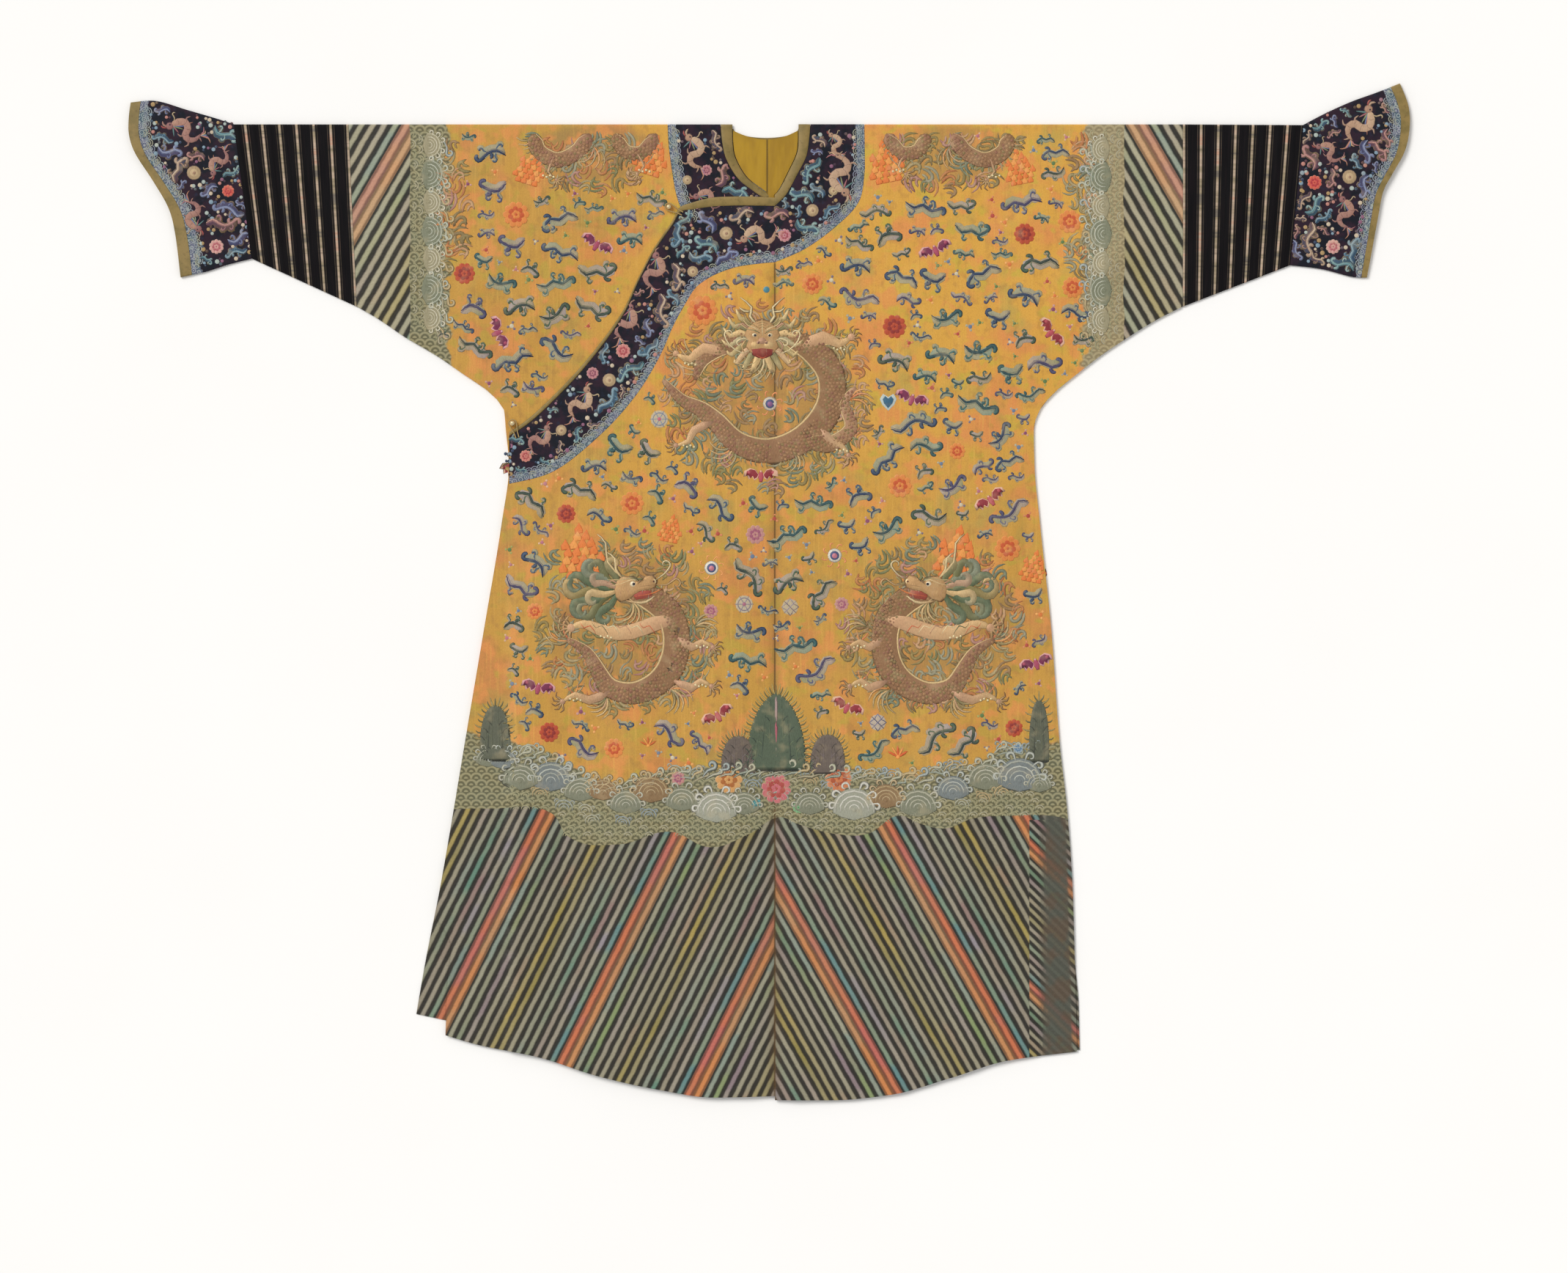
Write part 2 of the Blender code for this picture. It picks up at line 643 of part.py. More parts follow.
def tube_ring(points, lofts, extra=0.0):
    """A flattened ring of cloth through plan points from its top edge to its bottom edge."""
    ends = []
    for edge, inward, edge_loft in ((points[0], points[1], lofts[0]), (points[-1], points[-2], lofts[-1])):
        lower = LAYER + edge_loft
        radius = (lower + WALL + extra) / 2
        ux, uy = unit(*edge, *inward)
        ends.append(((edge[0] + ux * radius, edge[1] + uy * radius), (ux, uy), lower, radius))
    plan = [ends[0][0]] + points[1:-1] + [ends[1][0]]
    ring = [((x, drop, LAYER + rise), (x, drop, LAYER + rise + WALL + extra))
            for (x, drop), rise in zip(plan, lofts)]
    back = [((x, drop, WALL), (x, drop, 0.0)) for x, drop in plan]
    arcs = []
    for (cx, cy), (ux, uy), lower, radius in ends:
        inner = (lower - WALL) / 2
        arc = []
        for k in range(1, ARC_STEPS):
            angle = math.pi * (0.5 - k / ARC_STEPS)
            out, up = math.cos(angle), math.sin(angle)
            arc.append(((cx - ux * inner * out, cy - uy * inner * out, WALL + inner * (1 + up)),
                        (cx - ux * radius * out, cy - uy * radius * out, radius * (1 + up))))
        arcs.append(arc)
    return ring + arcs[1] + back[::-1] + arcs[0][::-1]


def add_sleeve_band(side, sign):
    """Ribbed band: a flattened tube between the upper sleeve and the cuff."""
    top_x, bottom_x = SLEEVE_SEAM[side]
    (end_top, end_bottom) = BAND_END[side]
    rings = []
    for i in range(6):
        share = i / 5
        shift = lerp(SEAM_GAP, 0, share)
        top = (lerp(top_x, end_top[0], share) + shift, lerp(0, end_top[1], share))
        bottom = (lerp(bottom_x, end_bottom[0], share) + shift, lerp(SLEEVE_DROP, end_bottom[1], share))
        points = [(sign * lerp(top[0], bottom[0], k / 9), lerp(top[1], bottom[1], k / 9)) for k in range(10)]
        lofts = [loft(x, max(drop, FOLD_DROP)) for x, drop in points]
        rings.append(tube_ring(points, lofts))
    add_tube("sleeve_band_" + side, rings, "black_silk")


def cuff_point(side, s, w):
    """Plan point of a cuff: s from the sleeve band to the mouth, w from its top to its bottom."""
    shape = CUFF[side]
    top, bottom, mouth = shape["top"], shape["bottom"], shape["mouth"]
    at_top, at_bottom, at_mouth = through(top, s), through(bottom, s), through(mouth, w)
    value = []
    for axis in (0, 1):
        seam = lerp(top[0][axis], bottom[0][axis], w)
        corners = lerp(lerp(top[0][axis], bottom[0][axis], w), lerp(mouth[0][axis], mouth[-1][axis], w), s)
        value.append(lerp(seam, at_mouth[axis], s) + lerp(at_top[axis], at_bottom[axis], w) - corners)
    return tuple(value)


def add_cuff(side, sign):
    """Horse-hoof cuff and the binding round its mouth."""
    seam_share = []
    for k in range(CUFF_ACROSS + 1):
        w = k / CUFF_ACROSS
        length = math.dist(cuff_point(side, 0, w), cuff_point(side, 1, w))
        seam_share.append((1 - CUFF_BINDING / length, SEAM_GAP / length))

    def ring(position, extra):
        points, lofts = [], []
        for k in range(CUFF_ACROSS + 1):
            w = k / CUFF_ACROSS
            s = position(*seam_share[k])
            x, drop = cuff_point(side, s, w)
            points.append((sign * x, drop))
            seam_x, seam_drop = cuff_point(side, 0, w)
            at_seam = loft(sign * seam_x, max(seam_drop, FOLD_DROP))
            lofts.append(lerp(at_seam, CUFF_EDGE_LOFT + CUFF_BILLOW * 4 * w * (1 - w), s))
        return tube_ring(points, lofts, extra)

    def ground(i):
        return lambda end, gap: lerp(gap, end - gap / 2, i / CUFF_ALONG)

    def edge(i):
        return lambda end, gap: lerp(end + gap / 2, 1, i / 2)

    add_tube("cuff_" + side, [ring(ground(i), 0) for i in range(CUFF_ALONG + 1)], "navy_silk")
    add_tube("cuff_binding_" + side, [ring(edge(i), CUFF_BINDING_EXTRA) for i in range(3)], "tan_binding")


# ---- closures ----

def add_closure(place):
    """A ball button beside the flap and the cord loop that holds it."""
    seat = underlap_layer(place.x, place.drop) + WALL
    mesh = bpy.data.meshes.new("button_" + place.name)
    work = bmesh.new()
    bmesh.ops.create_uvsphere(work, u_segments=12, v_segments=8, radius=BUTTON_RADIUS * MM)
    lift = seat + SEAM_GAP + BUTTON_RADIUS
    bmesh.ops.translate(work, verts=work.verts, vec=(place.x * MM, -place.drop * MM, lift * MM))
    work.to_mesh(mesh)
    work.free()
    mesh.shade_smooth()
    add_object("button_" + place.name, mesh, "gilt")

    ux, uy = unit(place.x, place.drop, place.towards_x, place.towards_drop)
    ring = BUTTON_RADIUS + CORD_RADIUS + SEAM_GAP
    path = []
    for k in range(CORD_POINTS):
        angle = math.pi * (0.5 + k / (CORD_POINTS - 1))
        path.append((ring * math.cos(angle), ring * math.sin(angle), lift))
    tail = CORD_RUN - 8
    sewn = top_layer(place.towards_x, place.towards_drop) + BINDING_WALL + SEAM_GAP + CORD_RADIUS
    path = ([(CORD_RUN, 2.2, sewn), (tail, 2.6, sewn), (6, 4.6, lift)] + path
            + [(6, -4.6, lift), (tail, -2.6, sewn), (CORD_RUN, -2.2, sewn)])
    curve = bpy.data.curves.new("loop_" + place.name, "CURVE")
    curve.dimensions = "3D"
    curve.bevel_depth = CORD_RADIUS * MM
    curve.bevel_resolution = 1
    curve.use_fill_caps = True
    spline = curve.splines.new("POLY")
    spline.points.add(len(path) - 1)
    for point, (along, aside, z) in zip(spline.points, path):
        x = place.x + ux * along - uy * aside
        drop = place.drop + uy * along + ux * aside
        point.co = (x * MM, -drop * MM, z * MM, 1)
    add_object("loop_" + place.name, curve, "tan_binding")


def centre_on_floor():
    """Puts the origin on the surface, in the middle of the robe's length and width."""
    made = list(bpy.context.scene.objects)
    meshes = [thing.data for thing in made if thing.type == "MESH"]
    xs = [vertex.co.x for mesh in meshes for vertex in mesh.vertices]
    ys = [vertex.co.y for mesh in meshes for vertex in mesh.vertices]
    shift_x = -(min(xs) + max(xs)) / 2
    shift_y = -(min(ys) + max(ys)) / 2
    for mesh in meshes:
        for vertex in mesh.vertices:
            vertex.co.x += shift_x
            vertex.co.y += shift_y
    for thing in made:
        if thing.type == "CURVE":
            for point in thing.data.splines[0].points:
                point.co.x += shift_x
                point.co.y += shift_y


def build():
    for old in list(bpy.data.objects):
        bpy.data.objects.remove(old, do_unlink=True)
    add_left_length()
    add_right_length()
    add_overlap()
    add_collar()
    add_lining()
    for side, sign in (("left", 1), ("right", -1)):
        add_sleeve_band(side, sign)
        add_cuff(side, sign)
    for place in CLOSURES:
        add_closure(place)
    centre_on_floor()


build()
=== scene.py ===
# Dresses the laid-out silk robe: cloth shells on the frame, woven motifs, materials, light and camera.
# Plan sizes are millimetres: x runs across from the centre-front seam, plus towards the wearer's left,
# and drop runs down the cloth from the shoulder fold. Heights are above the surface the robe lies on.

import math
import random

import bmesh
import bpy
import numpy as np
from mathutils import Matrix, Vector

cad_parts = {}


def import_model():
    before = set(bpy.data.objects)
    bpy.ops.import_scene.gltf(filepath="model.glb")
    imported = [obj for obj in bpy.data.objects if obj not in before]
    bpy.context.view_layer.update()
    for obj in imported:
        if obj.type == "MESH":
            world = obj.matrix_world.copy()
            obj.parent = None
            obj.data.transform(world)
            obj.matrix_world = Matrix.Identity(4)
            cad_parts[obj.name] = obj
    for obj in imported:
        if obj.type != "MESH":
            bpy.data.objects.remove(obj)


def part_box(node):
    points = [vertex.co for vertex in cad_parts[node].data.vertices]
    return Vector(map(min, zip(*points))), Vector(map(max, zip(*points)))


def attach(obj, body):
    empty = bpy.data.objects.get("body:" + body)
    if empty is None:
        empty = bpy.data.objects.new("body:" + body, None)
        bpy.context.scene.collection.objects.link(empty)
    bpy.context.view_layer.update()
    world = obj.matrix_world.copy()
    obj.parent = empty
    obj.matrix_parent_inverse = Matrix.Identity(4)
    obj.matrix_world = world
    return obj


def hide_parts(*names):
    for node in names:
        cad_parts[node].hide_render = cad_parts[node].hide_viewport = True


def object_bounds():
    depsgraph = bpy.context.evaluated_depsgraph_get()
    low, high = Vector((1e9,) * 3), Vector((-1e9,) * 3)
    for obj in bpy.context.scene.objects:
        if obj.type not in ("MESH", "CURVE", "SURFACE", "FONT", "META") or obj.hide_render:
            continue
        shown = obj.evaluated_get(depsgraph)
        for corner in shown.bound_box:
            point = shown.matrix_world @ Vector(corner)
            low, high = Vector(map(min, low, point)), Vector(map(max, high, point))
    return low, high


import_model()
cadLow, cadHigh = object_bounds()
mm = 0.001
scene = bpy.context.scene

cut = {
    "wall": 1.6,
    "bandWall": 2.0,
    "bindingWall": 2.2,
    "liningWall": 1.2,
    "seamGap": 0.3,
    "hemDrop": 1403,
    "skirtStart": 470,
    "armpitDrop": 425,
    "armpitX": 381,
    "sleeveDrop": 262,
    "sleeveSeam": {"left": (586.6, 586.6), "right": (613.0, 601.2)},
    "bandEnd": {"left": ((759.6, 1.0), (741.0, 202.6)), "right": ((777.5, 0.0), (752.2, 193.0))},
    "backSeamX": -12.9,
    "underlapX": -20,
    "slitStart": 1139,
}
halfGap = cut["seamGap"] / 2
layer = cut["wall"] + cut["seamGap"]

# drop, half width on the wearer's left, on the right
sides = [(262, 586.6, 601.2), (280, 550.7, 570.0), (306, 508.5, 532.0), (332, 469.5, 487.4),
         (359, 434.7, 448.4), (385, 403.0, 411.0), (411, 380.9, 389.5), (438, 372.4, 387.0),
         (491, 373.5, 382.5), (570, 380.9, 392.5), (728, 397.7, 418.8), (886, 409.3, 445.5),
         (992, 421.0, 463.2), (1097, 428.3, 481.5), (1203, 431.5, 502.5), (1340, 434.7, 526.0)]
ventEdge = [(1139, 487.0), (1182, 465.0), (1235, 470.5), (1320, 474.0)]      # drop, half width
frontHem = {                                                                 # x, drop
    "left": [(0, 1403), (82, 1403), (167, 1395), (251, 1371.5), (335, 1346), (436, 1333)],
    "right": [(0, 1397), (87, 1399), (171, 1387), (255, 1368), (340, 1341), (424, 1324), (476, 1309)],
}
backHem = {
    "left": [(0, 1388), (167, 1380), (251, 1357), (335, 1333), (440, 1331)],
    "right": [(0, 1377), (171, 1364), (255, 1345), (340, 1318), (424, 1299), (517, 1279)],
}

soft = {
    "shoulderLoft": 1.7,
    "billow": 3.0,
    "billowRun": 110,
    "shoulderRun": 70,
    "pressRun": 80,
    "topPress": 6,
    "underPress": 46,
    "centreDip": 0.6,
    "centreRun": 22,
    "liftRun": 90,
    "ripple": 0.32,                       # height of the cloth's small unevenness
    "seamSink": 0.5,                      # the centre-front seam draws the cloth down
}
foldDrop = (layer + soft["shoulderLoft"] + cut["wall"]) / 2

# seam x, seam drop, outer x, outer drop, width of the binding
collarLeft = [(51, foldDrop, 128.7, foldDrop, 17), (49, 25, 129.2, 38, 15), (45, 47, 128.5, 75, 14),
              (32, 73, 120, 113, 13), (17, 100, 88, 147, 12), (6, 112, 44, 179, 12), (0, 117.5, 0, 198.5, 12)]
collarRight = [(-78, foldDrop, -154, foldDrop, 17), (-76, 25, -152.5, 32, 15), (-70, 50, -148, 66, 13),
               (-53, 78, -142, 100, 12), (-30, 96.5, -133, 124, 12), (-16, 106, -118, 143, 11)]
flap = [(0, 117.5, 0, 198.5, 12), (-30, 117, -26, 201, 13), (-60, 117, -57, 206, 13),
        (-90, 118.5, -86, 216.5, 13), (-118, 122.5, -106, 228.5, 10), (-136, 127, -116, 238, 7),
        (-148, 146, -125, 252, 4.5), (-174, 184, -145, 288, 4), (-196, 226, -166, 335, 4),
        (-222, 281, -199, 389, 5.5), (-277, 354, -248, 444, 6), (-343, 421, -316, 498, 6),
        (-382, 448.5, -382, 517, 6)]
flapCorner = 5                            # row of flap where its top edge turns down
neckBack = {"binding": (46.5, 13), "seam": (64.5, 28), "outer": (141.4, 91), "drop": foldDrop + 3.7}

# x and drop at one end, at the other end, half width, height: first the large folds, then the fine creases
folds = [
    (352, 392, 175, 205, 34, 3.6), (420, 330, 330, 120, 30, 2.2), (575, 150, 395, 245, 26, 2.6),
    (405, 850, 416, 1345, 17, 4.2), (245, 640, 290, 1400, 40, 3.2), (95, 560, 120, 1420, 42, 2.6),
    (345, 470, 300, 760, 30, 2.4), (-362, 398, -240, 215, 34, 3.6), (-600, 140, -410, 250, 26, 2.6),
    (-455, 340, -380, 130, 30, 2.0), (-335, 600, -408, 1330, 38, 3.4), (-190, 560, -232, 1400, 42, 2.8),
    (-62, 420, -78, 1410, 34, 2.2), (690, 30, 610, 235, 24, 1.6), (-700, 30, -640, 225, 24, 1.6),
]
creases = [
    (366, 408, 262, 300, 9, 0.9), (372, 418, 240, 350, 8, -0.8), (388, 398, 330, 250, 10, 0.7),
    (-370, 412, -300, 318, 9, 0.9), (-380, 400, -335, 245, 10, 0.8), (-372, 430, -300, 400, 7, -0.7),
    (398, 640, 404, 1330, 7, -1.1), (424, 900, 430, 1330, 6, 0.9), (378, 470, 392, 760, 8, 0.8),
    (330, 760, 352, 1230, 12, -0.9), (205, 850, 222, 1250, 14, 0.8), (150, 420, 172, 760, 13, 0.7),
    (60, 700, 70, 1180, 12, -0.6), (-120, 640, -128, 1110, 13, 0.8), (-262, 520, -300, 900, 14, 0.9),
    (-290, 960, -322, 1380, 13, -0.9), (-420, 900, -452, 1300, 10, 0.9), (-30, 980, -38, 1370, 11, 0.5),
    (520, 40, 470, 230, 11, 0.7), (455, 60, 400, 210, 13, -0.6), (300, 60, 270, 190, 15, 0.6),
    (-520, 50, -480, 240, 11, 0.7), (-300, 60, -270, 180, 15, 0.6), (-440, 70, -420, 200, 12, -0.5),
    (-100, 760, -330, 800, 16, 0.35), (40, 905, 380, 880, 16, 0.3), (60, 455, 330, 470, 15, 0.3),
    (735, 20, 700, 190, 9, 0.6), (640, 60, 655, 220, 10, 0.5), (-735, 30, -716, 180, 9, 0.6),
]

place = {
    "x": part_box("left_length")[0].x / mm - (cut["backSeamX"] + halfGap),
    "y": cadLow.y / mm + cut["hemDrop"],
}


def world(points):                        # plan x, drop and height to metres in the frame
    points = np.asarray(points, float)
    return np.stack([(points[..., 0] + place["x"]) * mm, (place["y"] - points[..., 1]) * mm,
                     points[..., 2] * mm], -1)


def ease(t):
    t = np.clip(t, 0, 1)
    return t * t * (3 - 2 * t)


def lerp(a, b, t):
    return a + (b - a) * t


def readTable(table, value, column=1):    # smooth curve through the rows, held to each gap's own range
    keys = np.array([row[0] for row in table], float)
    data = np.array([row[column] for row in table], float)
    slopes = np.diff(data) / np.diff(keys)
    tangents = np.concatenate([slopes[:1], np.zeros(len(slopes) - 1), slopes[-1:]])
    before, after = slopes[:-1], slopes[1:]
    together = before * after > 0
    tangents[1:-1][together] = (2 * before * after)[together] / (before + after)[together]
    value = np.clip(value, keys[0], keys[-1])
    i = np.clip(np.searchsorted(keys, value, "right") - 1, 0, len(keys) - 2)
    step = keys[i + 1] - keys[i]
    t = (value - keys[i]) / step
    return ((1 + 2 * t) * (1 - t) ** 2 * data[i] + t * (1 - t) ** 2 * step * tangents[i]
            + t * t * (3 - 2 * t) * data[i + 1] + t * t * (t - 1) * step * tangents[i + 1])


def through(points, t):                   # smooth curve through the points, t from 0 to 1
    points = np.asarray(points, float)
    last = len(points) - 1
    at = np.clip(t, 0, 1) * last
    i = np.minimum(np.floor(at).astype(int), last - 1)
    u = (at - i)[..., None]
    a, b, c, d = (points[np.clip(i + k, 0, last)] for k in (-1, 0, 1, 2))
    bend, twist = 2 * a - 5 * b + 4 * c - d, 3 * b - a - 3 * c + d
    return 0.5 * (2 * b + (c - a) * u + bend * u ** 2 + twist * u ** 3)


def refined(sections, steps):
    return through(sections, np.linspace(0, 1, (len(sections) - 1) * steps + 1))


def sideX(drop, side):
    drop = np.asarray(drop, float)
    top, bottom = cut["sleeveSeam"][side]
    along = readTable(sides, drop, 1 if side == "left" else 2)
    return np.where(drop < cut["sleeveDrop"], lerp(top, bottom, drop / cut["sleeveDrop"]), along)


def overlapX(drop):
    return np.where(drop < cut["slitStart"], sideX(drop, "right") - 1, readTable(ventEdge, drop))


def underlapSideX(drop):
    return np.where(drop < cut["skirtStart"], sideX(drop, "right"), overlapX(drop) - 4)


def hang(x, drop, hem):                   # bends a row of the skirt so that the last one lies on the hem
    share = (drop - cut["skirtStart"]) / (cut["hemDrop"] - cut["skirtStart"])
    bent = lerp(cut["skirtStart"], readTable(hem, np.abs(x)), share)
    return np.where(drop <= cut["skirtStart"], drop, bent)


def planGrid(starts, endX, hem, columns, sign):
    starts = np.asarray(starts, float)
    drop = starts[:, 1]
    reach = endX(drop)
    for _ in range(6):
        reach = endX(hang(reach, drop, hem))
    share = np.linspace(0, 1, columns + 1)[None, :]
    x = lerp(starts[:, :1], sign * reach[:, None], share)
    return np.stack([x, hang(x, drop[:, None] + 0 * x, hem)], -1)


def distanceTo(rail, x, drop):
    nearest = np.full(np.shape(x), 1e9)
    for (ax, ay), (bx, by) in zip(rail, rail[1:]):
        length = (bx - ax) ** 2 + (by - ay) ** 2
        t = np.clip(((x - ax) * (bx - ax) + (drop - ay) * (by - ay)) / length, 0, 1)
        nearest = np.minimum(nearest, np.hypot(x - ax - (bx - ax) * t, drop - ay - (by - ay) * t))
    return nearest


flapEdge = [row[:2] for row in flap]
underarm = [(381, 425), (435, 359), (508, 306), (587, 262), (747, 198), (860, 221)]


def edgeDistance(x, drop):                # rough distance to the side or underarm edge
    reach = np.abs(x)
    half = np.where(x > 0, sideX(drop, "left"), sideX(drop, "right"))
    beyond = np.interp(reach, [row[0] for row in underarm], [row[1] for row in underarm])
    sleeve = np.where(reach > underarm[-1][0], 60, np.maximum(beyond - drop, 0) * 0.85)
    chest = np.hypot(cut["armpitX"] - reach, cut["armpitDrop"] - drop)
    body = np.where(drop < cut["armpitDrop"], chest, np.maximum(half - reach, 0))
    return np.where(reach > cut["armpitX"], sleeve, body)


def ridges(rows, x, drop):
    height = 0 * x
    for x0, drop0, x1, drop1, width, high in rows:
        dx, dy = x1 - x0, drop1 - drop0
        length = math.hypot(dx, dy)
        along = ((x - x0) * dx + (drop - drop0) * dy) / length
        across = ((x - x0) * dy - (drop - drop0) * dx) / length
        ends = ease(along / (0.3 * length)) * ease((length - along) / (0.15 * length))
        height = height + high * np.exp(-(across / width) ** 2) * ends
    return height


def ripples(x, drop):                     # small unevenness, never repeating in step
    return (np.sin(x / 11.3 + 1.7 * np.sin(drop / 47)) * np.sin(drop / 19.7 + 1.3 * np.sin(x / 61))
            + 0.7 * np.sin(x / 6.1 + drop / 83 + 2 * np.sin(drop / 29))
            + 0.8 * np.sin(drop / 31 + 1.9 * np.sin(x / 37 + 2)))


def loft(x, drop, press):
    below = drop - foldDrop
    edge = edgeDistance(x, drop)
    shoulder = soft["shoulderLoft"] * (1 - ease(below / soft["shoulderRun"]))
    body = soft["billow"] * ease(edge / soft["billowRun"]) + ridges(folds, x, drop) * ease(edge / 45)
    centre = 1 - soft["centreDip"] * np.exp(-(x / soft["centreRun"]) ** 2)
    seam = soft["seamSink"] * np.exp(-(x / 3.5) ** 2)
    away = distanceTo(flapEdge, x, drop) - press
    calm = ease(away / soft["pressRun"]) * ease(below / soft["shoulderRun"])
    fine = (ridges(creases, x, drop) + soft["ripple"] * ripples(x, drop)) * ease(edge / 12) * ease(below / 30)
    fine = fine * ease(away / 30 + 0.25)
    return np.maximum(shoulder + body * centre * calm + fine - seam, 0)


def topLayer(x, drop):                    # lower face of the left front, the overlap and the flap
    lift = 1 - ease((x - 8) / soft["liftRun"])
    return layer * (1 + lift * ease((drop - 15) / 50)) + loft(x, drop, soft["topPress"])


def underlapLayer(x, drop):
    covered = drop > flapEdge[-1][1]
    for (ax, ay), (bx, by) in zip(flapEdge[1:], flapEdge[2:]):
        span = (drop - ay) / max(by - ay, 1e-6)
        covered = covered | ((drop >= ay) & (drop < by) & (x > lerp(ax, bx, span) - soft["topPress"]))
    return layer + np.where(covered, 0, loft(x, drop, soft["underPress"]))


def linked(name, data):
    made = bpy.data.objects.new(name, data)
    scene.collection.objects.link(made)
    return made


def faceOut(mesh):                        # turns every face of a closed mesh outwards
    work = bmesh.new()
    work.from_mesh(mesh)
    bmesh.ops.recalc_face_normals(work, faces=work.faces)
    work.to_mesh(mesh)
    work.free()


def wallMesh(name, inner, outer, uv, finish, wrap=False):      # a wall of cloth between its two faces
    rows, columns = inner.shape[:2]
    points = world(np.concatenate([inner.reshape(-1, 3), outer.reshape(-1, 3)]))
    span = uv.shape[1]

    def corner(side, i, j):
        return np.stack([side * rows * columns + i * columns + j % columns, i * span + j], -1)

    def quads(*corners):
        return np.stack([np.broadcast_to(c, corners[0].shape) for c in corners], -2).reshape(-1, 4, 2)

    def rim(at, on):                      # closes the wall between the edges of its two faces
        made.append(quads(corner(0, *at), corner(0, *on), corner(1, *on), corner(1, *at)))

    i, j = np.meshgrid(np.arange(rows - 1), np.arange(columns if wrap else columns - 1), indexing="ij")
    square = ((0, 0), (1, 0), (1, 1), (0, 1))
    made = [quads(*(corner(side, i + a, j + b) for a, b in square)) for side in (0, 1)]
    down, across = i[:, 0], j[0]
    for end in (0 * across, 0 * across + rows - 1):
        rim((end, across), (end, across + 1))
    if not wrap:
        for end in (0 * down, 0 * down + columns - 1):
            rim((down, end), (down + 1, end))
    faces = np.concatenate(made)
    mesh = bpy.data.meshes.new(name)
    mesh.from_pydata(points.tolist(), [], faces[:, :, 0].tolist())
    flat = uv.reshape(-1, 2) * mm
    mesh.uv_layers.new(name="cloth").data.foreach_set("uv", flat[faces[:, :, 1].reshape(-1)].reshape(-1))
    faceOut(mesh)
    mesh.materials.append(finish)
    mesh.shade_smooth()
    mesh.set_sharp_from_angle(angle=math.radians(50))
    return linked(name, mesh)


def raised(plan, lower, wall):            # plan rows between their lower and upper face
    low = lower(plan[..., 0], plan[..., 1])
    return (np.concatenate([plan, low[..., None]], -1),
            np.concatenate([plan, (low + wall)[..., None]], -1))


def resting(plan, wall):                  # rows of the back, flat on the surface, inner face up
    flat = 0 * plan[..., :1]
    return np.concatenate([plan, flat + wall], -1), np.concatenate([plan, flat], -1)


def shoulderFold(row, lower, wall, steps=8):
    x, drop = row[:, 0], row[:, 1]
    low = lower(x, drop)
    small, large = (low - cut["wall"]) / 2, (low + wall) / 2
    inner, outer = [], []
    for k in range(steps + 1):
        angle = math.pi * (0.5 - k / steps)
        back, up = math.cos(angle), 1 + math.sin(angle)
        inner.append(np.stack([x, drop - small * back, cut["wall"] + small * up], -1))
        outer.append(np.stack([x, drop - large * back, large * up], -1))
    return np.array(inner), np.array(outer)


def joined(*pairs):
    return tuple(np.concatenate([pair[k] for pair in pairs]) for k in (0, 1))


def clothUv(points):                      # distance along and across in millimetres
    along = np.cumsum(np.linalg.norm(np.diff(points, axis=0, prepend=points[:1]), axis=-1), 0)
    across = np.cumsum(np.linalg.norm(np.diff(points, axis=1, prepend=points[:, :1]), axis=-1), 1)
    return np.stack([along, across], -1)


def planArea(plan):
    a, b, c, d = plan[:-1, :-1], plan[1:, :-1], plan[1:, 1:], plan[:-1, 1:]
    p, q = c - a, d - b
    return float(np.abs(p[..., 0] * q[..., 1] - p[..., 1] * q[..., 0]).sum() / 2) * mm * mm


def dressed(piece, flat, area, restsOn):      # the part's node has the piece's name, in words
    node = "".join("_" + letter.lower() if letter.isupper() else letter for letter in piece.name)
    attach(piece, "root")
    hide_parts(node)
    [side * mm for side in flat]
    return piece


def clothBelow(name):                          # the piece that another one rests on
    return ["rightLength" if "Right" in name else "leftLength"]


def wired(operation):                     # an operator that adds a maths node
    return lambda self, *other: self.shop.maths(operation, self, *other)


class Wire:                               # one socket in a shader, with the maths used on it
    __add__ = __radd__ = wired("ADD")
    __sub__ = wired("SUBTRACT")
    __mul__ = __rmul__ = wired("MULTIPLY")
    __mod__ = wired("FLOORED_MODULO")
    __gt__ = wired("GREATER_THAN")
    __lt__ = wired("LESS_THAN")
    __or__ = wired("MAXIMUM")
    __and__ = wired("MINIMUM")
    __abs__ = wired("ABSOLUTE")
    floor = wired("FLOOR")
    sine = wired("SINE")

    def __init__(self, shop, socket):
        self.shop, self.socket = shop, socket

    def __rsub__(self, other):
        return self.shop.maths("SUBTRACT", other, self)

    def rise(self, low, high):            # 0 below low, 1 above high, soft between
        return self.shop.node("ShaderNodeMapRange", {"interpolation_type": "SMOOTHSTEP"},
                              {"Value": self, "From Min": low, "From Max": high})


threads = {                               # the dragons' dyes and other threads used in many motifs
    "dark": "7a5a3a", "skin": "8f6c48", "warm": "966f54", "rose": "b58c70", "peach": "c69a76",
    "belly": "cdaa76", "crest": "d8bb86", "mane": "6c683c", "green": "536244", "grey": "7d826c",
    "face": "b99162", "cream": "e3d2a4", "red": "cd5f3c", "orange": "e08a45", "claw": "6d4a33",
    "tongue": "7c3b3a", "nostril": "5a3a34", "iris": "2c2833", "outline": "9a8250", "goldRim": "b8954f",
}


def dye(code):                            # a thread's name or a colour's hex code to its linear values
    code = threads.get(code, code)
    part = [int(code[k:k + 2], 16) / 255 for k in (0, 2, 4)]
    return tuple(v / 12.92 if v <= 0.04045 else ((v + 0.055) / 1.055) ** 2.4 for v in part) + (1.0,)


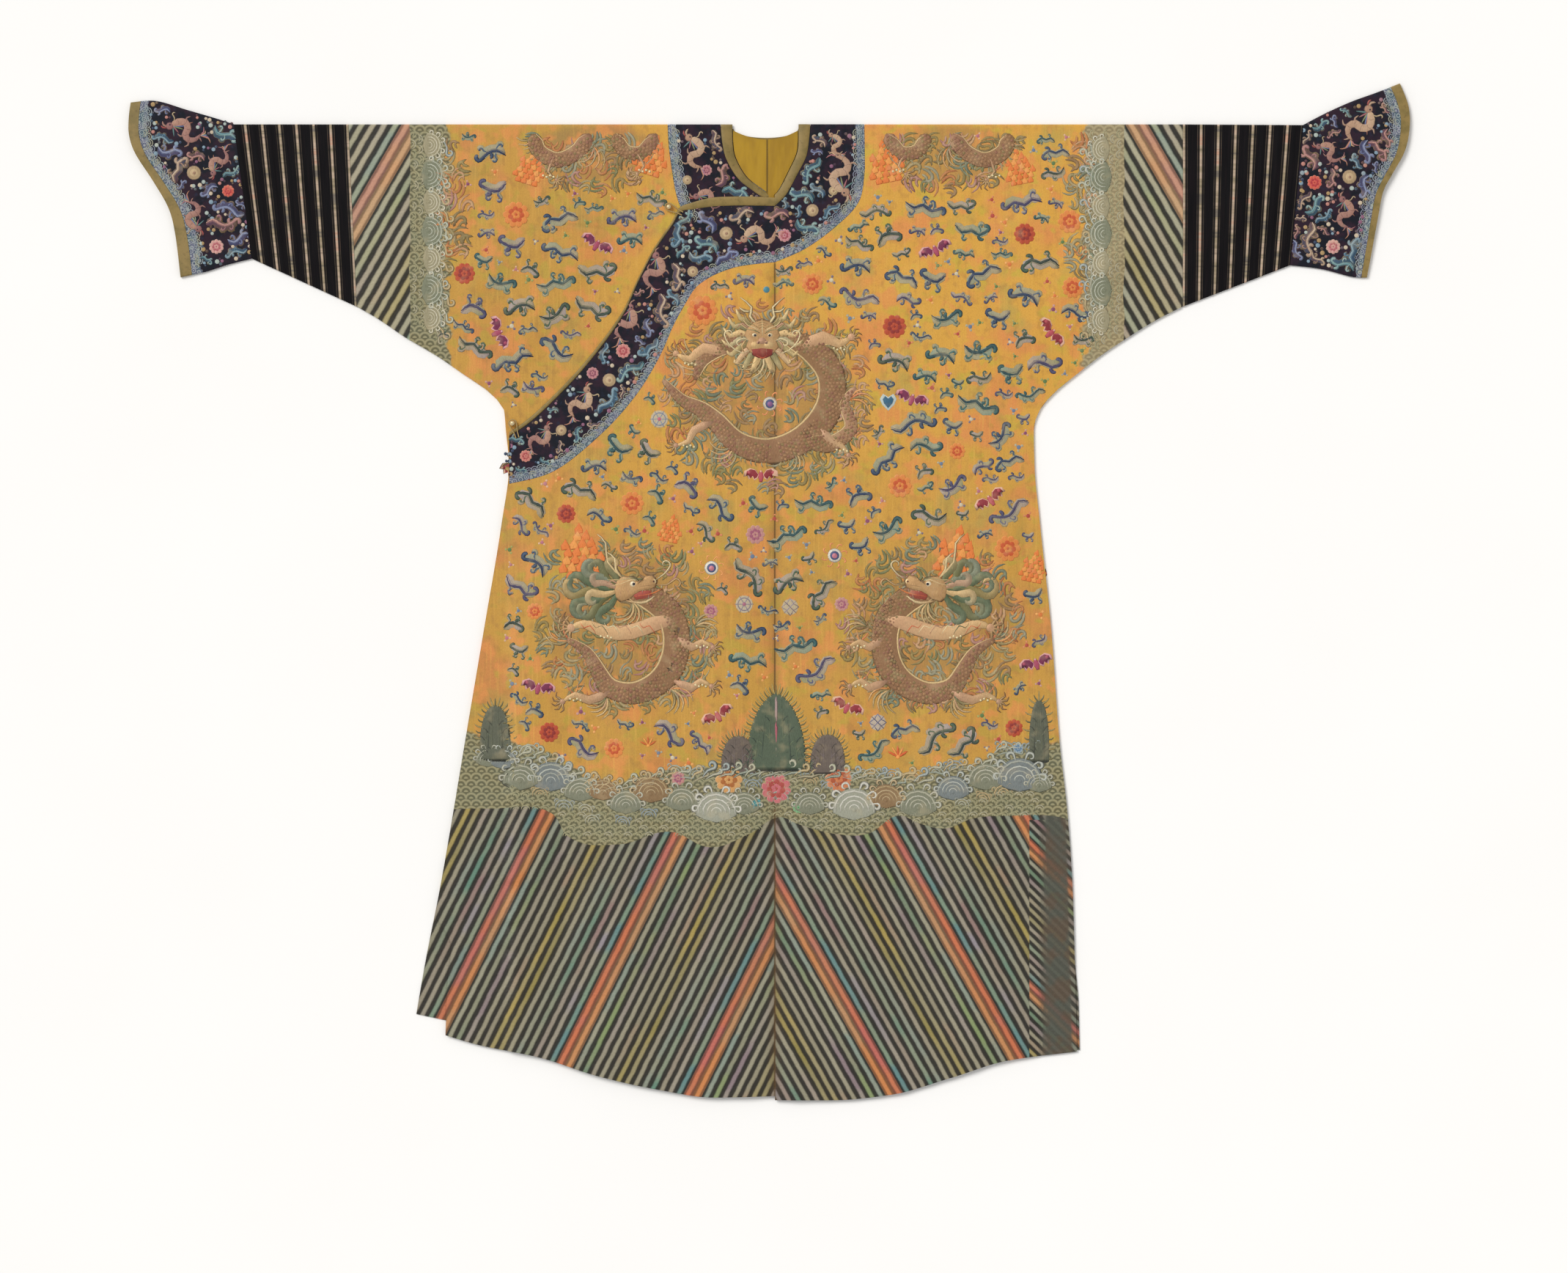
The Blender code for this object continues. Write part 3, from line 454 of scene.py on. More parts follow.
class Finish:                             # one material: its nodes and its Principled shader
    def __init__(self, name, roughness=0.6, sheen=0.0, metallic=0.0, gloss=0.35):
        self.material = bpy.data.materials.new(name)
        self.material.use_nodes = True
        self.tree = self.material.node_tree
        self.shader = self.tree.nodes["Principled BSDF"]
        for key, value in (("Roughness", roughness), ("Metallic", metallic), ("Sheen Weight", sheen),
                           ("Sheen Roughness", 0.4), ("Specular IOR Level", gloss)):
            self.shader.inputs[key].default_value = value

    def node(self, kind, settings=None, values=None, out=0):
        made = self.tree.nodes.new(kind)
        for key, value in (settings or {}).items():
            if key == "stops":
                ramp = made.color_ramp
                while len(ramp.elements) < len(value):
                    ramp.elements.new(0.5)
                for element, (position, colour) in zip(ramp.elements, value):
                    element.position, element.color = position, colour
            elif key == "ramp":
                made.color_ramp.interpolation = value
            elif key == "curve":
                points = made.mapping.curves[0].points
                while len(points) < len(value):
                    points.new(0.5, 0.5)
                for point, at in zip(points, value):
                    point.location = at
                made.mapping.update()
            else:
                setattr(made, key, value)
        for key, value in (values or {}).items():
            self.feed(made.inputs[key], value)
        return Wire(self, made.outputs[out])

    def feed(self, socket, value):
        if isinstance(value, Wire):
            self.tree.links.new(value.socket, socket)
        else:
            socket.default_value = value

    def maths(self, operation, *terms):
        return self.node("ShaderNodeMath", {"operation": operation}, dict(enumerate(terms)))

    def mix(self, factor, a, b, kind="MIX"):
        return self.node("ShaderNodeMix", {"data_type": "RGBA", "blend_type": kind},
                         {0: factor, 6: a, 7: b}, 2)

    def vector(self, x, y=0.0, z=0.0):
        return self.node("ShaderNodeCombineXYZ", None, {0: x, 1: y, 2: z})

    def noise(self, vector, scale, detail=2.0, roughness=0.5, warp=0.0):
        return self.node("ShaderNodeTexNoise", None, {"Vector": vector, "Scale": scale, "Detail": detail,
                                                      "Roughness": roughness, "Distortion": warp})

    def spot(self):                       # the shaded point, in metres
        return self.node("ShaderNodeTexCoord", None, None, 3)

    def plan(self):                       # x and drop in millimetres
        at = self.spot()
        x, y = (self.node("ShaderNodeSeparateXYZ", None, {0: at}, k) for k in (0, 1))
        return x * (1 / mm) - place["x"], place["y"] - y * (1 / mm)

    def across(self):                     # the piece's own map, in millimetres
        at = self.node("ShaderNodeUVMap", {"uv_map": "cloth"})
        return tuple(self.node("ShaderNodeSeparateXYZ", None, {0: at}, k) * (1 / mm) for k in (0, 1))

    def bump(self, height, distance, strength):
        bump = self.node("ShaderNodeBump", None, {"Height": height, "Distance": distance * mm,
                                                  "Strength": strength})
        self.feed(self.shader.inputs["Normal"], bump)

    def colour(self, value):
        self.feed(self.shader.inputs["Base Color"], value)

    def done(self, colour, height, distance, strength):      # the dyed and woven material
        self.colour(colour)
        self.bump(height, distance, strength)
        return self.material


def weave(f, x, drop, rib=1.15, pick=0.62):      # tapestry weave: ribs along the warp, fine picks across
    ribs = (x * (2 * math.pi / rib)).sine()
    picks = (drop * (2 * math.pi / pick) + (x * (math.pi / rib)).sine() * 1.5).sine()
    return ribs * 0.6 + picks * 0.4


yellow = {
    "base": "d49f3f", "orange": "d98d4a", "olive": "b59a48", "pale": "dba94f", "worn": "a9803c",
    "seam": "5c4220", "dust": "a8783a", "lime": "c3a63a", "tan": "987446", "dull": "8f703c",
}
groundsOfDragons = [(-12, 388, 140, 122), (-211, 722, 118, 112), (228, 722, 118, 112), (-258, 42, 98, 44),
                    (250, 42, 98, 44)]    # x, drop, half width, half height
stripeDyes = ["d2683f", "cf8850", "9c9c88", "64826a", "978e86", "9d9884", "8d8672", "a08f42", "9a8a4a",
              "9a947f", "8f917f", "84917c", "94877f", "9c9486", "75907c"]
stripeTurns = ["c85f58", "d6803f", "84958a", "7f9562", "88767f", "96907a", "9c8670", "ab9546", "8c7f3a",
               "9c8f84", "848f84", "558474", "8e6870", "8f8894", "558588"]
stripes = {
    "pitch": 12.27, "rightPitch": 11.85, "sleevePitch": 14.2, "leftAngle": 63.4, "rightAngle": 60.5,
    "sleeveAngle": 60, "leftStart": 1132, "rightStart": 1066, "dark": "17130b", "light": "938d76",
}
foldShadeDyes = ("544738", "4a4c42")         # painted shade of the hem's fold where it turns away at the side, on the wearer's left
waterDyes = {"base": "807855", "cool": "797a60", "pale": "a39b76", "deep": "57543a", "sleeve": "c4aa80"}
waterScale = {"gap": 9.6, "pitch": 14.8}
# x and drop of the line where the hem's stripes stop, and of the line where the water meets the ground
stripeTop = [(-470, 985), (-414, 984), (-320, 991), (-297, 1024), (-225, 1035), (-150, 1017), (-93, 1039),
             (-37, 1020), (8, 996), (31, 1005), (88, 1020), (133, 1020), (178, 994), (208, 1005), (246, 1012),
             (284, 998), (340, 994), (396, 994), (440, 1004)]
waterTop = [(-470, 872), (-436, 877), (-334, 900), (-282, 930), (-244, 946), (-150, 927), (-93, 927),
            (8, 922), (54, 922), (133, 930), (208, 934), (246, 919), (284, 922), (329, 896), (382, 893),
            (440, 885)]


def lineThrough(f, x, rows):              # drop of a boundary at x
    low, high = rows[0][0], rows[-1][0]
    deep = max(row[1] for row in rows) + 10
    curve = [((row[0] - low) / (high - low), row[1] / deep) for row in rows]
    share = (x - low) * (1 / (high - low))
    return f.node("ShaderNodeFloatCurve", {"curve": curve}, {"Factor": 1.0, "Value": share}) * deep


def ramp(codes):
    return [(k / len(codes), dye(code)) for k, code in enumerate(codes)]


def stripeColour(f, u, along):            # slanting stripes, changing shade along their length
    index = u.floor()
    share = u - index
    cycle = ((index % 15) + 0.5) * (1 / 15)
    first = f.node("ShaderNodeValToRGB", {"stops": ramp(stripeDyes), "ramp": "CONSTANT"}, {"Fac": cycle})
    second = f.node("ShaderNodeValToRGB", {"stops": ramp(stripeTurns), "ramp": "CONSTANT"}, {"Fac": cycle})
    shift = f.noise(f.vector(index * 7.31, along * (1 / 85)), 1.0, 1.0)
    colour = f.mix(shift.rise(0.46, 0.56), first, second)
    fade = f.noise(f.vector(index * 3.17 + 40, along * (1 / 140)), 1.0, 2.0)
    warm = (index % 15) < 1.5
    colour = f.mix(0.16 + warm * 0.06, colour, dye("8f8568"))
    colour = f.mix(fade.rise(0.36, 0.7) * (0.8 - warm * 0.5), colour, dye(stripes["light"]))
    wobble = f.noise(f.vector(index * 1.9, along * (1 / 14)), 1.0, 1.0) * 0.16 - 0.08
    side = abs(share + wobble - 0.5) * 2
    dark = side.rise(0.22, 0.7)
    dark = dark * (1 - warm * 0.3)
    return f.mix(dark * 0.95, colour, dye(stripes["dark"])), dark


def waterColour(f, x, drop):              # flat water: rows of small scales
    gap, pitch = waterScale["gap"], waterScale["pitch"]
    row = (drop * (1 / gap)).floor()
    u = (x + (row % 2) * (pitch / 2)) * (1 / pitch)
    u, v = u - u.floor() - 0.5, drop * (1 / gap) - row - 1
    reach = f.maths("SQRT", u * u * 2.3 + v * v)
    ring = (reach * 10).sine()
    tone = f.noise(f.vector(x * (1 / 40), drop * (1 / 25)), 1.0, 3.0)
    colour = f.mix(tone.rise(0.35, 0.65), dye(waterDyes["base"]), dye(waterDyes["cool"]))
    colour = f.mix(ring.rise(0.1, 0.8) * 0.7, colour, dye(waterDyes["pale"]))
    colour = f.mix((0 - ring).rise(0.1, 0.8) * 0.8, colour, dye(waterDyes["deep"]))
    return colour, ring


def groundSilk():
    f = Finish("groundSilk", roughness=0.55, sheen=0.18)
    x, drop = f.plan()
    wide = abs(x)
    flat = f.vector(x, drop)
    # golden ground with faded, orange and olive patches and streaks along the warp
    patches = f.noise(flat, 1 / 95, 3.0, 0.55)
    colour = f.mix(patches.rise(0.5, 0.66), dye(yellow["base"]), dye(yellow["orange"]))
    greener = f.noise(f.vector(x + 900, drop * 0.8), 1 / 70, 3.0, 0.6)
    colour = f.mix(greener.rise(0.52, 0.7) * 0.8, colour, dye(yellow["olive"]))
    lime = f.noise(f.vector(x * 0.8 - 700, drop), 1 / 32, 2.0, 0.6)
    colour = f.mix(lime.rise(0.55, 0.66) * 0.85, colour, dye(yellow["lime"]))
    dust = f.noise(f.vector(x * 1.2, drop * 0.9 + 500), 1 / 15, 2.0, 0.5)
    colour = f.mix(dust.rise(0.5, 0.7) * 0.4, colour, dye(yellow["dust"]))
    # browner silk round each dragon, and painted shade lower down and towards the wearer's right
    for near, low, width, high in groundsOfDragons:
        u, v = (x - near) * (1 / width), (drop - low) * (1 / high)
        reach = f.maths("SQRT", u * u + v * v)
        colour = f.mix((1 - (reach + dust * 0.5).rise(1.0, 1.35)) * 0.6, colour, dye(yellow["tan"]))
    # painted shade: the ground is darker lower down and towards the wearer's right
    paintedShade = drop.rise(330, 700) | (0 - x).rise(100, 320)
    colour = f.mix(paintedShade * 0.3, colour, dye(yellow["dull"]))
    warm = f.noise(f.vector(x + 2100, drop * 0.9), 1 / 30, 2.0, 0.55)
    colour = f.mix(warm.rise(0.53, 0.66) * 0.75, colour, dye(yellow["orange"]))
    streaks = f.noise(f.vector(x * (1 / 3.2), drop * (1 / 75)), 1.0, 3.0, 0.6)
    colour = f.mix(streaks.rise(0.5, 0.75) * 0.5, colour, dye(yellow["pale"]))
    colour = f.mix((0 - streaks).rise(-0.42, -0.28) * 0.4, colour, dye(yellow["worn"]))
    # hem: water above slanting stripes
    top = lineThrough(f, x, stripeTop)
    crest = lineThrough(f, x, waterTop) + f.noise(flat, 1 / 18, 2.0) * 26 - 13
    a, b, c = (math.radians(stripes[name + "Angle"]) for name in ("left", "right", "sleeve"))
    pitch, rightPitch, sleevePitch = (stripes[name] for name in ("pitch", "rightPitch", "sleevePitch"))
    leftU = x * (math.sin(a) / pitch) + (drop - stripes["leftStart"]) * (math.cos(a) / pitch)
    rightU = (drop - stripes["rightStart"]) * (math.cos(b) / rightPitch) - x * (math.sin(b) / rightPitch)
    isLeft = x > 0
    hemU = leftU + (rightU - leftU) * isLeft
    hemU = hemU + (leftU * -1 + drop * 0.11 - hemU) * ((x > 366) & (drop > 1000))
    hemStripes, hemDark = stripeColour(f, hemU, drop)
    edgeLine = f.noise(f.vector(x * 0.2, drop * (1 / 40)), 1.0, 2.0) * 16
    # painted shade: the fold at the side on the wearer's left greys and darkens the hem's stripes
    foldShade = (x + edgeLine).rise(384, 402) * (1 - (x - (drop - 1100) * 0.028).rise(419, 424) * 0.6)
    worn = f.mix(f.noise(flat, 1 / 30, 2.0).rise(0.4, 0.6), dye(foldShadeDyes[0]), dye(foldShadeDyes[1]))
    hemStripes = f.mix(foldShade * 0.92, hemStripes, worn)
    water, rings = waterColour(f, x, drop)
    # sleeve ends: stripes, then water towards the body
    scallop = abs((drop * (math.pi / 46)).sine())
    sleeveTop = 474 - isLeft * 24 - scallop * 9 + f.noise(flat, 1 / 22, 2.0) * 24 - 12
    sleeveStripe = 525 - isLeft * 23 + f.noise(flat, 1 / 45, 1.0) * 8 - 4
    sleeveU = (drop * math.cos(c) - (wide - 520) * math.sin(c)) * (1 / sleevePitch) + 31
    sleeveColour, sleeveDark = stripeColour(f, sleeveU, drop + 500)
    sleeveColour = f.mix((1 - sleeveDark) * 0.32, sleeveColour, dye("c9bf9c"))
    onSleeve = drop < 470
    inSleeveWater = (wide - sleeveTop).rise(-2, 3) * onSleeve
    inSleeveStripes = (wide - sleeveStripe).rise(-0.6, 0.6) * onSleeve
    inWater = (drop - crest).rise(-3, 3)
    inStripes = (drop - top).rise(-0.6, 0.6)
    watery = inWater | inSleeveWater
    water = f.mix(x.rise(438, 442) * (1 - drop.rise(340, 380)) * 0.32, water, dye(waterDyes["sleeve"]))
    colour = f.mix(watery, colour, water)
    colour = f.mix(inStripes, colour, hemStripes)
    colour = f.mix(inSleeveStripes, colour, sleeveColour)
    # centre seam, and the painted shade in the dip beside it
    seam = (1 - wide.rise(0.6, 2.6)) * drop.rise(196, 202)
    seamShade = (1 - wide.rise(0, 14)) * drop.rise(196, 215) * 0.3
    colour = f.mix(seam * 0.8 | seamShade, colour, dye(yellow["seam"]))
    grain = f.noise(f.vector(x * (1 / 1.3), drop * (1 / 2.6)), 1.0, 2.0, 0.7)
    colour = f.mix(grain.rise(0.3, 0.8) * 0.22, colour, dye("7b5a2a"), "MULTIPLY")
    striped = hemDark * inStripes | sleeveDark * inSleeveStripes
    relief = weave(f, x, drop) * 0.25 + rings * watery * 0.45 - striped
    return f.done(colour, relief, 0.16, 0.7)


def navySilk():
    f = Finish("navySilk", roughness=0.6, gloss=0.15)
    x, drop = f.plan()
    across = f.across()[1]
    flat = f.vector(x, drop)
    tone = f.noise(flat, 1 / 26, 3.0, 0.6)
    colour = f.mix(tone.rise(0.4, 0.6), dye("12151f"), dye("2a1a27"))
    colour = f.mix(f.noise(flat, 1 / 9, 2.0).rise(0.55, 0.75) * 0.5, colour, dye("1f2b40"))
    # wave border along the outer edge: the map's v counts from there
    curl = f.node("ShaderNodeTexVoronoi", {"feature": "F1"},
                  {"Vector": flat, "Scale": 1 / 7.5, "Randomness": 0.7})
    ring = (curl * 19).sine()
    edge = across + f.noise(flat, 1 / 8, 1.0) * 9 - 4.5
    border = f.mix(f.noise(flat, 1 / 16, 2.0).rise(0.4, 0.6), dye("64767c"), dye("7a7a8c"))
    border = f.mix(f.noise(flat, 1 / 11, 2.0).rise(0.55, 0.7) * 0.8, border, dye("8f8f74"))
    border = f.mix(ring.rise(0.2, 0.9) * 0.7, border, dye("a5aba6"))
    border = f.mix((0 - ring).rise(0.4, 0.95) * 0.8, border, dye("344258"))
    inBorder = 1 - edge.rise(11.5, 12.6)
    colour = f.mix(inBorder, colour, border)
    return f.done(colour, weave(f, x, drop) * 0.4 + ring * inBorder * 0.5, 0.15, 0.6)


def blackSilk():
    f = Finish("blackSilk", roughness=0.62, gloss=0.1)
    along, across = f.across()
    pitch = 23.6
    at = along * (1 / pitch) + 0.45
    side = abs(at - at.floor() - 0.5) * pitch
    deep = f.noise(f.vector(along * 0.9, across * 0.02), 1.0, 2.0)
    ground = f.mix(deep.rise(0.4, 0.7), dye("08070a"), dye("120c0f"))
    shade = f.noise(f.vector(at.floor() * 5.3, across * (1 / 30)), 1.0, 3.0, 0.7)
    bright = f.mix(shade.rise(0.4, 0.58), dye("97896f"), dye("bda792"))
    bright = f.mix(shade.rise(0.56, 0.64) * 0.6, bright, dye("c48f76"))
    bright = f.mix((0 - shade).rise(-0.42, -0.36) * 0.8, bright, dye("6d6660"))
    line = 1 - side.rise(0.5, 2.7)
    thin = (1 - abs(side - 4.6).rise(0.2, 0.9)) * 0.12
    broken = f.noise(f.vector(at.floor() * 3.1, across * (1 / 6)), 1.0, 2.0, 0.8).rise(0.2, 0.5) * 0.5 + 0.5
    lines = line * broken | thin * broken
    relief = weave(f, along, across, 0.9, 0.55) * 0.3 + lines * 0.8
    return f.done(f.mix(lines, ground, bright), relief, 0.2, 0.7)


def bindingSilk():
    f = Finish("bindingSilk", roughness=0.5, sheen=0.2)
    x, drop = f.plan()
    along, across = f.across()
    tone = f.noise(f.vector(x, drop), 1 / 24, 3.0, 0.6)
    colour = f.mix(tone.rise(0.4, 0.65), dye("86703e"), dye("706031"))
    twill = ((along + across) * (2 * math.pi / 1.3)).sine()
    colour = f.mix(twill.rise(0.2, 1) * 0.25, colour, dye("b59a5c"))
    worn = f.noise(f.vector(x + 300, drop), 1 / 7, 3.0, 0.7)
    colour = f.mix(worn.rise(0.56, 0.7) * 0.5, colour, dye("5f4c26"))
    return f.done(colour, twill, 0.08, 0.5)


def liningSilk():
    f = Finish("liningSilk", roughness=0.42, sheen=0.1)
    x, drop = f.plan()
    tone = f.noise(f.vector(x * 0.5, drop * 0.12), 0.09, 3.0, 0.6)
    colour = f.mix(tone.rise(0.35, 0.65), dye("96710c"), dye("a98313"))
    seam = 1 - abs(x + 11).rise(0.5, 2.2)
    colour = f.mix(seam * 0.75, colour, dye("5f4810"))
    shadow = 1 - drop.rise(6, 30)
    colour = f.mix(shadow * 0.45, colour, dye("8a6d12"))
    return f.done(colour, weave(f, x, drop, 0.7, 0.5), 0.06, 0.5)


def threadSilk(name, gleam):              # floss and gold thread, its colour carried by the mesh
    f = Finish(name, roughness=0.5 - 0.1 * gleam, sheen=0.15, metallic=0.35 * gleam)
    x, drop = f.plan()
    shade = f.node("ShaderNodeAttribute", {"attribute_name": "thread"})
    lay = f.noise(f.vector(x * (1 / 1.1), drop * (1 / 5)), 1.0, 2.0, 0.7)
    colour = f.mix(lay.rise(0.35, 0.8) * 0.35, shade, dye("6d5638"), "MULTIPLY")
    patch = f.noise(f.vector(x, drop), 1 / 20, 2.0)
    colour = f.mix(patch.rise(0.5, 0.75) * 0.2, colour, dye("c9b48a"))
    return f.done(colour, weave(f, x, drop, 0.95, 0.6), 0.1, 0.6)


finishes = {
    "ground": groundSilk(), "navy": navySilk(), "black": blackSilk(), "binding": bindingSilk(),
    "lining": liningSilk(), "floss": threadSilk("flossThread", 0.0), "gold": threadSilk("goldThread", 1.0),
}
print("finishes made")


def outerPoints(sections):                # where a panel meets the outer edge of a collar band
    seam, outer = sections[:, :2], sections[:, 2:4]
    way = (outer - seam) / np.linalg.norm(outer - seam, axis=1, keepdims=True)
    return outer + way * halfGap


def neckSections(steps):
    angle = np.linspace(0, math.pi, steps + 1)
    rings = [np.stack([cut["backSeamX"] + neckBack[key][0] * np.cos(angle),
                       neckBack["drop"] + neckBack[key][1] * np.sin(angle)], -1) for key in ("seam", "outer")]
    return np.concatenate(rings + [0 * angle[:, None]], 1)


def evenly(drops, gap):                   # drops with steps of about gap between the given ones
    made = [drops[0]]
    for a, b in zip(drops, drops[1:]):
        made += list(np.linspace(a, b, max(round((b - a) / gap), 1) + 1)[1:])
    return made


lengths = {"columns": 66, "frontGap": 6.5, "backGap": 15, "collarSteps": 6, "neckSteps": 40}


def backPlan(side, sign, endX):
    neck = outerPoints(neckSections(lengths["neckSteps"]))
    half = len(neck) // 2
    edge = neck[:half + 1] if side == "left" else neck[:half - 1:-1]
    seamX = cut["backSeamX"] + sign * halfGap
    edge[-1, 0] = seamX
    below = [[seamX, drop] for drop in evenly([edge[-1, 1], 262, cut["skirtStart"], cut["hemDrop"]],
                                              lengths["backGap"])[1:]]
    return planGrid(np.concatenate([edge, below]), endX, backHem[side], lengths["columns"], sign)


def addLength(side, sign, starts, frontX, hem, lower, backX):
    front = planGrid(starts, frontX, hem, lengths["columns"], sign)
    back = backPlan(side, sign, backX)
    faces = joined([part[::-1] for part in raised(front[1:], lower, cut["wall"])],
                   shoulderFold(front[0], lower, cut["wall"]), resting(back, cut["wall"]))
    piece = wallMesh(side + "Length", *faces, clothUv(faces[1]), finishes["ground"])
    width = float(np.abs(front[..., 0]).max())
    length = float(front[..., 1].max() + back[..., 1].max())
    return dressed(piece, (width, length), planArea(front) + planArea(back), [])


def addLengths():                         # each loom width: front, back and upper sleeve in one
    starts = outerPoints(refined(collarLeft, lengths["collarSteps"]))
    starts[-1, 0] = halfGap
    drops = evenly([starts[-1, 1], cut["skirtStart"], cut["hemDrop"]], lengths["frontGap"])[1:]
    starts = np.concatenate([starts, [[halfGap, drop] for drop in drops]])
    left = addLength("left", 1, starts, lambda d: sideX(d, "left"), frontHem["left"], topLayer,
                     lambda d: sideX(d, "left") + 4 * ease((d - 1190) / 80))
    starts = outerPoints(refined(collarRight, lengths["collarSteps"]))
    drops = evenly([151, 560], lengths["frontGap"]) + evenly([560, cut["slitStart"]], 30)[1:]
    drops += evenly([cut["slitStart"], cut["hemDrop"]], 15)[1:]
    starts = np.concatenate([starts, [[cut["underlapX"], drop] for drop in drops]])
    hem = [(x, drop - 24) for x, drop in frontHem["right"]]
    right = addLength("right", -1, starts, underlapSideX, hem, underlapLayer, lambda d: sideX(d, "right"))
    return left, right


overlap = {"steps": 12, "skirtGap": 7}


def addOverlap():                         # outer right front, from the centre-front seam to the side
    edge = outerPoints(refined(flap, overlap["steps"]))
    edge[0, 0] = -halfGap
    columns = flapCorner * overlap["steps"]
    first, rest = edge[:columns + 1], edge[columns + 1:]
    share = (rest[:, 1] - first[-1, 1]) / (edge[-1, 1] - first[-1, 1])
    centre = lerp(first[0, 1], edge[-1, 1], share)
    across = np.linspace(0, 1, columns + 1)[None, :]
    upper = np.stack([lerp(-halfGap, rest[:, :1], across), lerp(centre[:, None], rest[:, 1:], across)], -1)
    drops = evenly([cut["skirtStart"], cut["hemDrop"]], overlap["skirtGap"])
    drops = [drop for drop in drops if drop > edge[-1, 1] + 4]
    skirt = planGrid([[-halfGap, d] for d in drops], overlapX, frontHem["right"], columns, -1)
    plan = np.concatenate([first[None], upper, skirt])
    faces = raised(plan, topLayer, cut["wall"])
    piece = wallMesh("overlapFront", *faces, clothUv(faces[1]), finishes["ground"])
    flat = (float(-plan[..., 0].min()), float(plan[..., 1].max() - plan[..., 1].min()))
    return dressed(piece, flat, planArea(plan), ["rightLength"])


def acrossBand(sections, columns, start, end):      # rows across a collar section, from start to end
    seam, outer = sections[:, None, :2], sections[:, None, 2:4]
    way = (outer - seam) / np.linalg.norm(outer - seam, axis=-1, keepdims=True)
    share = np.linspace(0, 1, columns + 1)[None, :, None]
    return lerp(start(seam, outer, way), end(seam, outer, way), share)


def bandPlan(sections, columns):          # from a band's outer edge to the binding's seam
    return acrossBand(sections, columns, lambda seam, outer, way: outer - way * halfGap,
                      lambda seam, outer, way: seam + way * halfGap)


def bindingPlan(sections, columns):       # from a binding's free edge to the band's seam
    return acrossBand(sections, columns, lambda seam, outer, way: seam - way * sections[:, None, 4:5],
                      lambda seam, outer, way: seam - way * halfGap)


bands = {"steps": 8, "tuck": 0.7, "roll": 1.3}
collarKinds = {"band": (bandPlan, 14, "navy", "navy_silk"),      # plan, columns, finish and slot
               "binding": (bindingPlan, 8, "binding", "tan_binding")}


def tucked(faces, kind):                  # a band sinks at its stitched edges, a binding is rolled
    inner, outer = faces
    share = np.linspace(0, 1, outer.shape[1])[None, :]
    edge = np.minimum(share, 1 - share)
    if kind == "band":
        drop = bands["tuck"] * (1 - ease(edge / 0.07))
    else:
        drop = bands["roll"] * (1 - np.sqrt(np.clip(1 - (2 * share - 1) ** 2, 0, 1)))
    way = np.sign(outer[..., 2] - inner[..., 2])
    outer = outer.copy()
    outer[..., 2] -= way * drop * np.ones_like(way)
    return inner, outer


def frontCollarFaces(sections, across, columns, lower, wall):
    plan = across(refined(sections, bands["steps"]), columns)
    behind = plan[:1].copy()
    behind[..., 1] = neckBack["drop"] - cut["seamGap"]
    fold = [part[::-1] for part in shoulderFold(plan[0], lower, wall)]
    return joined(resting(behind, wall), fold, raised(plan[1:], lower, wall)), plan


def addCollar():                          # bands and bindings round the neck and along the flap
    made = {}

    def add(name, kind, plan, faces, stitched=True):
        shown = tucked(faces, kind) if stitched else faces
        finish, slotName = collarKinds[kind][2:]
        made[name] = wallMesh(name, *shown, clothUv(faces[1]), finishes[finish])
        long = float(np.linalg.norm(np.diff(plan.mean(1), axis=0), axis=1).sum())
        deep = float(np.linalg.norm(plan[:, -1] - plan[:, 0], axis=1).max())
        dressed(made[name], (long, deep), planArea(plan), clothBelow(name))

    for kind, name in (("band", "collar"), ("binding", "neckBinding")):
        across, columns = collarKinds[kind][:2]
        for side, sections, lower, wall in (("Left", collarLeft, topLayer, cut[kind + "Wall"]),
                                            ("Right", collarRight, underlapLayer, cut["wall"])):
            faces, plan = frontCollarFaces(sections, across, columns, lower, wall)
            add(name + side, kind, plan, faces)
    for kind, (across, columns, *_) in collarKinds.items():
        plan = across(refined(flap, bands["steps"]), columns)
        add("flap" + kind.title(), kind, plan, raised(plan, topLayer, cut[kind + "Wall"]))
    plan = bandPlan(neckSections(lengths["neckSteps"]), collarKinds["band"][1])
    add("collarBack", "band", plan, resting(plan, cut["wall"]), stitched=False)
    angle = np.linspace(0, math.pi, lengths["neckSteps"] + 1)[:, None]
    share = np.linspace(0, 1, 5)[None, :]
    half, deep = (lerp(free, seam - cut["seamGap"], share)
                  for free, seam in zip(neckBack["binding"], neckBack["seam"]))
    plan = np.stack([cut["backSeamX"] + half * np.cos(angle), neckBack["drop"] + deep * np.sin(angle)], -1)
    add("neckBindingBack", "binding", plan, resting(plan, cut["wall"]), stitched=False)
    return made


lining = {"top": (9, 21.8), "end": {1: 113, -1: 105}, "seamX": -11, "margin": 1.2, "columns": 16}


